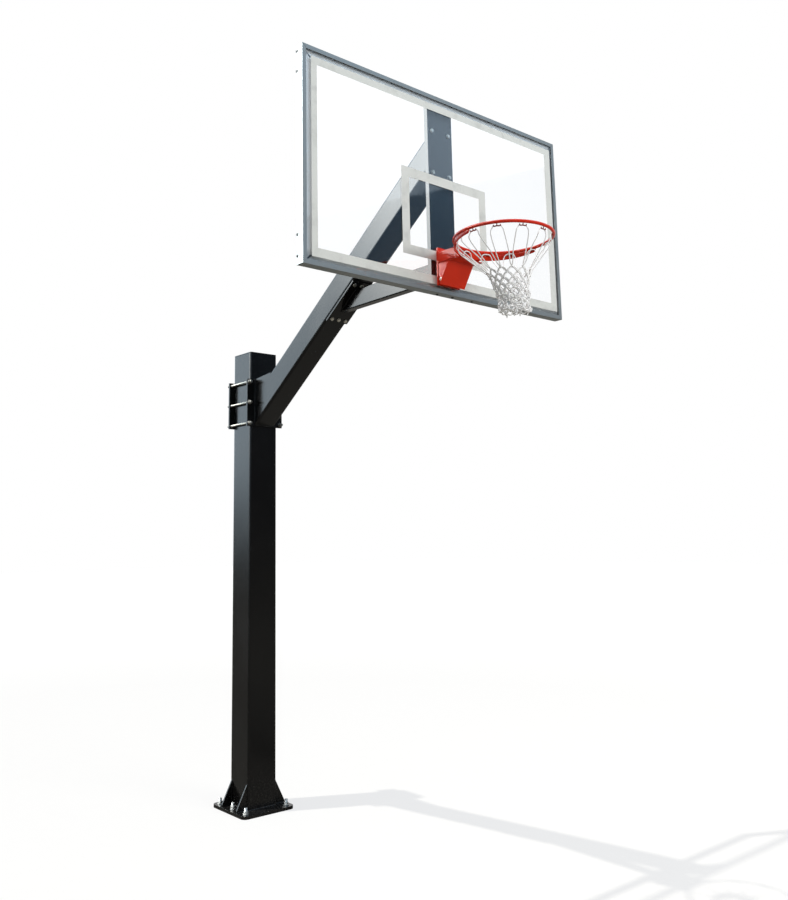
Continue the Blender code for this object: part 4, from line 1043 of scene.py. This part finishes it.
def rounded_outline(half_u, half_v, radius, steps=4):
    """Points round a rounded rectangle, as (u, v) pairs that close on themselves."""
    points = []
    for side_u, side_v, start in ((1, 1, 0), (-1, 1, 90), (-1, -1, 180), (1, -1, 270)):
        for step in range(steps + 1):
            angle = math.radians(start + 90 * step / steps)
            u = side_u * (half_u - radius) + radius * math.cos(angle)
            v = side_v * (half_v - radius) + radius * math.sin(angle)
            points.append((u, v))
    points.append(points[0])
    return points


def link_welds(name, shape, material, body):
    link(mesh_from(name, shape, smooth_angle=60.0), material, body)


def add_base_welds():
    """Beads round the pole's foot and along both sides of the gussets."""
    shape = bmesh.new()
    outline = rounded_outline(POLE_HALF, POLE_HALF, POLE_CORNER)
    add_weld(shape, [Vector((u, v, PLATE_TOP + WELD_LIFT)) for u, v in outline], POLE_WELD)
    for side, side_name in ((-1, "left"), (1, "right")):
        for end_name in ("front", "rear"):
            low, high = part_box("base_gusset_%s_%s" % (side_name, end_name))
            inner = side * (POLE_HALF + WELD_LIFT)
            outer = side * (max(abs(low.x), abs(high.x)) - WELD_END)
            for y in (low.y, high.y):
                top = Vector((inner, y, high.z - GUSSET_WELD_TOP))
                corner = Vector((inner + side * GUSSET_WELD_CORNER, y, PLATE_TOP + GUSSET_WELD_CORNER))
                toe = Vector((outer, y, PLATE_TOP + WELD_LIFT))
                add_weld(shape, [top, corner, toe], PLATE_WELD)
    link_welds("base_welds", shape, BLACK, STAND)


def add_seams(shape, half, start):
    """Filled seam along both sides of the arm's upper edge, over the knee."""
    knee_low, knee_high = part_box("arm_knee")
    run = knee_high.y - knee_low.y - WELD_END
    seam = Vector((0, -run, run * ARM_SLOPE))
    down = Vector((0, -ARM_SIN, -ARM_COS))
    for side in (-1, 1):
        near = side * (half + SEAM_PROUD)
        far = side * (half - SEAM_THICKNESS)
        corners = ((far, -SEAM_ABOVE), (near, -SEAM_ABOVE), (near, SEAM_BELOW), (far, SEAM_BELOW))
        loops = []
        for place in (start, start + seam):
            loops.append([place + Vector((x, 0, 0)) + down * drop for x, drop in corners])
        add_loft(shape, loops)


def add_knee_welds(shape, half, y):
    """Upright beads between knee and clamp plate, and the level bead above them."""
    low_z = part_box("arm_knee")[1].z - KNEE_WELD_LENGTH
    for side in (-1, 1):
        x = side * (half - WELD_SINK)
        add_weld(shape, [Vector((x, y, low_z)), Vector((x, y, CLAMP_TOP - WELD_END))], PLATE_WELD)
    x = half - WELD_END
    add_weld(shape, [Vector((-x, y, CLAMP_TOP)), Vector((x, y, CLAMP_TOP))], PLATE_WELD)


def add_brace_welds(shape):
    """Beads round the brace at the spine and, slanted, at the arm."""
    low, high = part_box("brace_tube")
    middle = (low.z + high.z) / 2
    tall = (high.z - low.z) / 2
    front_y = low.y + WELD_SINK
    rear_y = high.y - tall / ARM_SLOPE
    loop = rounded_outline(high.x, tall, BRACE_CORNER)
    add_weld(shape, [Vector((u, front_y, middle + v)) for u, v in loop], BRACE_FRONT_WELD)
    slanted = [Vector((u, rear_y - v / ARM_SLOPE - WELD_LIFT, middle + v)) for u, v in loop]
    add_weld(shape, slanted, BRACE_REAR_WELD)


def add_arm_welds():
    """Beads round both ends of the arm, along the knee and round the brace's ends."""
    shape = bmesh.new()
    low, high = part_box("extension_arm")
    half = high.x
    plumb = half / ARM_COS
    rear_y = high.y - WELD_SINK
    rear_z = low.z + plumb
    for y, z in ((rear_y, rear_z), (low.y + WELD_SINK, high.z - plumb)):
        outline = rounded_outline(half, half, ARM_CORNER)
        add_weld(shape, [Vector((u, y, z + v / ARM_COS)) for u, v in outline], ARM_WELD)
    add_seams(shape, half, Vector((0, rear_y, rear_z + plumb)))
    add_knee_welds(shape, half, rear_y)
    add_brace_welds(shape)
    link_welds("arm_welds", shape, BLACK, STAND)


def add_rim_welds():
    """Bead between the neck and the ring, and short beads along the curved strip."""
    shape = bmesh.new()
    for height in NECK_WELD_HEIGHTS:
        points = [ring_point(degrees, NECK_WELD_RADIUS, height) for degrees in NECK_WELD_ANGLES]
        add_weld(shape, points, NECK_WELD)
    for middle in SKIRT_WELD_ANGLES:
        span = range(middle - SKIRT_WELD_HALF_ANGLE, middle + SKIRT_WELD_HALF_ANGLE + 1)
        points = [ring_point(degrees, SKIRT_WELD_RADIUS, SKIRT_WELD_Z) for degrees in span]
        add_weld(shape, points, SKIRT_WELD)
    link_welds("rim_welds", shape, RED, RIM)


# Ring, hooks and curved strip

def link_rim_part(name, shape, material, replaced=()):
    link(mesh_from(name, shape, smooth_angle=50.0), material, RIM, replaced)


def ring_point(degrees, radius, z):
    angle = math.radians(degrees)
    return RING_CENTRE + Vector((radius * math.cos(angle), radius * math.sin(angle), z))


def ring_directions(degrees):
    """Level directions outward from the ring's middle, and along the ring."""
    radial = (ring_point(degrees, 1.0, 0) - RING_CENTRE).normalized()
    return radial, Vector((-radial.y, radial.x, 0))


def hook_angles():
    return [HOOK_TURN + 360 / HOOK_COUNT * index for index in range(HOOK_COUNT)]


def build_ring():
    """Round-bar ring."""
    shape = bmesh.new()
    circle = [ring_point(360 / RING_STEPS * step, RING_RADIUS, RING_Z) for step in range(RING_STEPS)]
    add_sweep(shape, circle, lambda run, angle: RING_BAR, RING_SIDES, cyclic=True)
    link_rim_part("rim_ring_dressed", shape, RED, ("rim_ring",))


def build_hooks():
    """Twelve wire hooks whose ends curl up to hold the net's loops; their darker red is painted shade from
    the ring above them.
    """
    shape = bmesh.new()
    bar_z = RING_Z - RING_BAR - HOOK_DROP
    for degrees in hook_angles():
        middle = ring_point(degrees, RING_RADIUS - HOOK_INSET, bar_z)
        radial, tangent = ring_directions(degrees)
        wire = [middle - tangent * u + UP * v for u, v in reversed(HOOK_HALF[1:])]
        wire += [middle + tangent * u + UP * v for u, v in HOOK_HALF]
        add_tube(shape, wire, HOOK_WIRE, sides=10, step=0.0016)
        bend = middle + UP * HOOK_STEM
        top = middle + UP * (HOOK_DROP + HOOK_STEM) + radial * HOOK_STEM_LEAN
        add_tube(shape, [middle, bend, top], HOOK_WIRE, sides=10, step=0.002)
    link_rim_part("net_hooks", shape, SHADED_WIRE_RED)


def skirt_depth(share, deepest):
    """Depth of the curved strip at a share of its run; its ends are rounded."""
    depth = SKIRT_END_DEPTH + (deepest - SKIRT_END_DEPTH) * math.sin(math.pi * share)
    from_end = min(share, 1 - share) * math.pi * RING_RADIUS
    if from_end < SKIRT_END_RADIUS:
        depth *= math.sqrt(1 - (1 - max(from_end, SKIRT_TIP) / SKIRT_END_RADIUS) ** 2)
    return depth


def build_skirt():
    """Curved strip with rolled edges and rounded ends under the rear half of the ring."""
    low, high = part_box("rim_skirt")
    loops = []
    for step in range(SKIRT_STEPS + 1):
        share = step / SKIRT_STEPS
        depth = skirt_depth(share, high.z - low.z)
        section = (
            (-SKIRT_HALF, -SKIRT_LAP),
            (SKIRT_HALF, -SKIRT_LAP),
            (SKIRT_HALF, SKIRT_ROLL - depth),
            (SKIRT_HALF / 2, -depth),
            (-SKIRT_HALF / 2, -depth),
            (-SKIRT_HALF, SKIRT_ROLL - depth),
        )
        loops.append([ring_point(180 * share, RING_RADIUS + u, high.z + v) for u, v in section])
    shape = bmesh.new()
    add_loft(shape, loops)
    link_rim_part("rim_skirt_dressed", shape, RED, ("rim_skirt",))


# Net

def scatter(reach):
    return DICE.uniform(-reach, reach)


def net_radius(z):
    if z > WAIST_Z:
        share = (z - WAIST_Z) / (FIRST_KNOT_Z - WAIST_Z)
        return WAIST_RADIUS + (KNOT_RADIUS - WAIST_RADIUS) * share ** SHOULDER_CURVE
    share = (WAIST_Z - z) / (WAIST_Z - HEM_Z)
    return WAIST_RADIUS + (HEM_RADIUS - WAIST_RADIUS) * share ** HEM_CURVE


def net_lean(z):
    """How far the net's middle has moved from the ring's middle at a height."""
    return NET_LEAN * ((RING_Z - z) / (RING_Z - HEM_Z))


def outward(place):
    """Level direction away from the net's own middle at this height."""
    direction = place - RING_CENTRE - net_lean(place.z)
    direction.z = 0
    return direction.normalized()


def build_net():
    """Rows of knots joined by cord meshes, hung from the hooks and ending in a loose hem."""
    shape = bmesh.new()
    rows = []
    for row in range(NET_ROWS):
        z = FIRST_KNOT_Z + (HEM_Z - FIRST_KNOT_Z) * row / (NET_ROWS - 1)
        turn = 180 / HOOK_COUNT if row % 2 == 0 else 0
        slack = NEAT_SLACK if row < NEAT_ROWS else TANGLED_SLACK
        knots = []
        for angle in hook_angles():
            jitter = Vector([scatter(slack) for _ in range(3)])
            knots.append(ring_point(angle + turn, net_radius(z), z) + net_lean(z) + jitter)
        rows.append(knots)
    add_loops(shape, rows[0])
    for row in range(NET_ROWS - 1):
        for index in range(HOOK_COUNT):
            below = (index, (index + 1) % HOOK_COUNT) if row % 2 == 0 else (index - 1, index)
            for side, other in zip((-1, 1), below):
                add_mesh_leg(shape, rows[row][index], rows[row + 1][other], row, side)
    for knots in rows:
        for knot in knots:
            add_knot(shape, knot)
    add_hem(shape, rows[-1])
    link(mesh_from("net_cords", shape, smooth_angle=180.0), CORD, RIM, ("net",))


def add_loops(shape, knots):
    """Twelve hanging loops, each over one hook and down to the two knots beside it."""
    for index, degrees in enumerate(hook_angles()):
        radial, tangent = ring_directions(degrees)
        crown = ring_point(degrees, LOOP_RADIUS, LOOP_Z)
        halves = []
        for side, knot in ((-1, knots[index - 1]), (1, knots[index])):
            half = []
            for sideways, out, up in (LOOP_PRONG, LOOP_SHOULDER, LOOP_BOW):
                half.append(crown + tangent * side * sideways + radial * out + UP * up)
            spread = tangent * side * LOOP_SPREAD
            middle = half[-1].lerp(knot, LOOP_MIDDLE_SHARE) + spread
            low = half[-1].lerp(knot, LOOP_LOW_SHARE) - UP * LOOP_SAG - spread
            halves.append(half + [middle, low, knot])
        top = crown + UP * LOOP_CROWN_LIFT
        add_rope(shape, halves[0][::-1] + [top] + halves[1], thickness=0.70)


def add_mesh_leg(shape, start, end, row, side):
    """One side of a mesh: two cords laid beside each other, bowed so that the hole is round."""
    out = outward(start.lerp(end, 0.5))
    around = out.cross(UP)
    toward = around * (1 if (end - start).dot(around) > 0 else -1)
    slack = NEAT_WANDER if row < NEAT_ROWS - 1 else TANGLED_WANDER
    for lay in (-1, 1):
        across = toward * LEG_SPACING * lay + UP * (LEG_CROSSING * lay * side)
        wander = out * scatter(slack) + around * scatter(slack)
        upper = start.lerp(end, LEG_UPPER[0]) + toward * LEG_UPPER[1] + across + wander * 0.5
        lower = start.lerp(end, LEG_LOWER[0]) + toward * LEG_LOWER[1] + across + wander
        add_rope(shape, [start, upper, lower, end], thickness=0.90)


def add_knot(shape, place):
    """Small overhand knot, drawn as a trefoil of cord."""
    out = outward(place)
    side = out.cross(UP)
    turn = DICE.uniform(0, 2 * math.pi)
    points = []
    for step in range(KNOT_STEPS + 1):
        t = 2 * math.pi * step / KNOT_STEPS
        u = math.sin(t + turn) + 2 * math.sin(2 * t + turn)
        v = math.cos(t + turn) - 2 * math.cos(2 * t + turn)
        w = -math.sin(3 * t) * KNOT_DEPTH
        points.append(place + KNOT_SIZE * (side * u + UP * v + out * w))
    add_rope(shape, points, thickness=0.78, step=KNOT_ROPE_STEP)


def add_hem(shape, knots):
    """Loose loops between the bottom knots, frayed tails, and one longer cord end."""
    for index, knot in enumerate(knots):
        after = knots[(index + 1) % HOOK_COUNT]
        drop = Vector((scatter(HEM_SCATTER), scatter(HEM_SCATTER), -DICE.uniform(*HEM_DROP)))
        add_rope(shape, [knot, knot.lerp(after, 0.5) + drop, after], thickness=0.85)
        inner = knot.lerp(after, 0.4) - outward(knot) * DICE.uniform(*HEM_INWARD) + HEM_LIFT
        add_rope(shape, [knot, inner, after], thickness=0.85)
        for _ in range(2):
            tip = knot + Vector((scatter(TIP_SCATTER), scatter(TIP_SCATTER), -DICE.uniform(*TIP_DROP)))
            add_rope(shape, [knot, knot.lerp(tip, 0.5) + TIP_BEND, tip], thickness=0.7)
    last = min(knots, key=lambda knot: (knot - TAIL_SIDE).length)
    add_rope(shape, [last] + [last + step for step in TAIL_STEPS])


# Studio

def add_camera():
    data = bpy.data.cameras.new("photo_camera")
    data.sensor_fit = "AUTO"
    data.sensor_width = CAMERA_SENSOR
    data.lens = CAMERA_LENS
    data.shift_x, data.shift_y = CAMERA_SHIFT
    camera = new_object("photo_camera", data)
    azimuth, pitch, roll = map(math.radians, CAMERA_TURNS)
    level = Vector((-math.sin(azimuth), math.cos(azimuth), 0)) * math.cos(pitch)
    forward = level + UP * math.sin(pitch)
    right = Vector((math.cos(azimuth), math.sin(azimuth), 0))
    up = right.cross(forward)
    rolled_right = math.cos(roll) * right + math.sin(roll) * up
    rolled_up = math.cos(roll) * up - math.sin(roll) * right
    turn = Matrix((rolled_right, rolled_up, -forward)).transposed()
    camera.matrix_world = Matrix.Translation(CAMERA_PLACE) @ turn.to_4x4()
    bpy.context.scene.camera = camera


def aim(lamp, place, target):
    lamp.location = place
    lamp.rotation_euler = (Vector(target) - Vector(place)).to_track_quat("-Z", "Y").to_euler()


def add_lights():
    """A high sun from behind, and a soft box in front that gloss and glass don't show."""
    sun = bpy.data.lights.new("sun", "SUN")
    sun.energy = SUN_POWER
    sun.angle = math.radians(SUN_ANGLE)
    aim(new_object("sun", sun), SUN_PLACE, (0.0, 0.0, 0.0))
    soft = bpy.data.lights.new("front_softbox", "AREA")
    soft.shape = "RECTANGLE"
    soft.size, soft.size_y = SOFTBOX_SIZE
    soft.energy = SOFTBOX_POWER
    lamp = new_object("front_softbox", soft)
    aim(lamp, SOFTBOX_PLACE, SOFTBOX_TARGET)
    lamp.visible_camera = False
    lamp.visible_transmission = False
    lamp.visible_glossy = False


def front_surround(across, height):
    """Dim place in front, brighter above a slanting line."""
    raised = maths("SUBTRACT", height, maths("MULTIPLY", across, FRONT_LINE_SLOPE))
    dusk = mix_colour(ramp(height, *FRONT_TONE_HEIGHTS), *FRONT_TONES)
    return mix_colour(ramp(raised, *FRONT_LINE_HEIGHTS), dusk, FRONT_HIGH)


def rear_surround(direction, across, height):
    """White backdrop with a bright part at the left, whose lower edge slants."""
    sideways = maths("ADD", maths("MAXIMUM", across, GLOW_SLANT_END), GLOW_SLANT_START)
    slanted = maths("SUBTRACT", height, maths("MULTIPLY", sideways, GLOW_SLANT))
    low_glow = mix_colour(ramp(height, *GLOW_LOW_HEIGHTS), *GLOW_LOW_TONES)
    glow = mix_colour(ramp(slanted, *GLOW_HIGH_HEIGHTS), low_glow, GLOW_HIGH)
    beside = ramp(dot_product(direction, GLOW_SIDE), *GLOW_SPREAD)
    return mix_colour(beside, BACKDROP, glow)


def set_world():
    """Plain light, a white backdrop for the camera and through the glass, and a surround for gloss."""
    world = bpy.data.worlds.new("studio")
    bpy.context.scene.world = world
    world.use_nodes = True
    tree = world.node_tree
    path = node(tree, "ShaderNodeLightPath").outputs
    direction = node(tree, "ShaderNodeTexCoord").outputs["Generated"]
    across, ahead, height = split_axes(direction)
    front = front_surround(across, height)
    rear = rear_surround(direction, across, height)
    surround = mix_colour(ramp(ahead, *FRONT_BEGINS), rear, front)
    undiffused = maths("LESS_THAN", path["Diffuse Depth"], ONE_BOUNCE)
    unreflected = maths("LESS_THAN", path["Glossy Depth"], ONE_BOUNCE)
    turned = maths("MAXIMUM", path["Is Glossy Ray"], path["Is Transmission Ray"])
    lit = mix_colour(maths("MULTIPLY", turned, undiffused), ROOM_LIGHT, surround)
    straight = maths("MULTIPLY", path["Is Transmission Ray"], undiffused)
    through = maths("MULTIPLY", straight, unreflected)
    seen = maths("MAXIMUM", path["Is Camera Ray"], through)
    backdrop = mix_colour(path["Is Camera Ray"], BACKDROP_THROUGH_GLASS, BACKDROP)
    feed(tree.nodes["Background"], "Color", mix_colour(seen, lit, backdrop))
    feed(tree.nodes["Background"], "Strength", 1.0)


def add_floor():
    shape = bmesh.new()
    bmesh.ops.create_grid(shape, x_segments=1, y_segments=1, size=FLOOR_REACH)
    mesh = bpy.data.meshes.new("studio_floor")
    shape.to_mesh(mesh)
    shape.free()
    mesh.materials.append(floor_material())
    floor = new_object("studio_floor", mesh)


add_camera()
add_lights()
set_world()
add_floor()
dress_plates()
add_print()
add_screws()
add_bolts()
add_clamp_rods()
add_anchors()
add_base_welds()
add_arm_welds()
add_rim_welds()
build_ring()
build_hooks()
build_skirt()
build_net()
bpy.context.scene.view_settings.view_transform = "Standard"
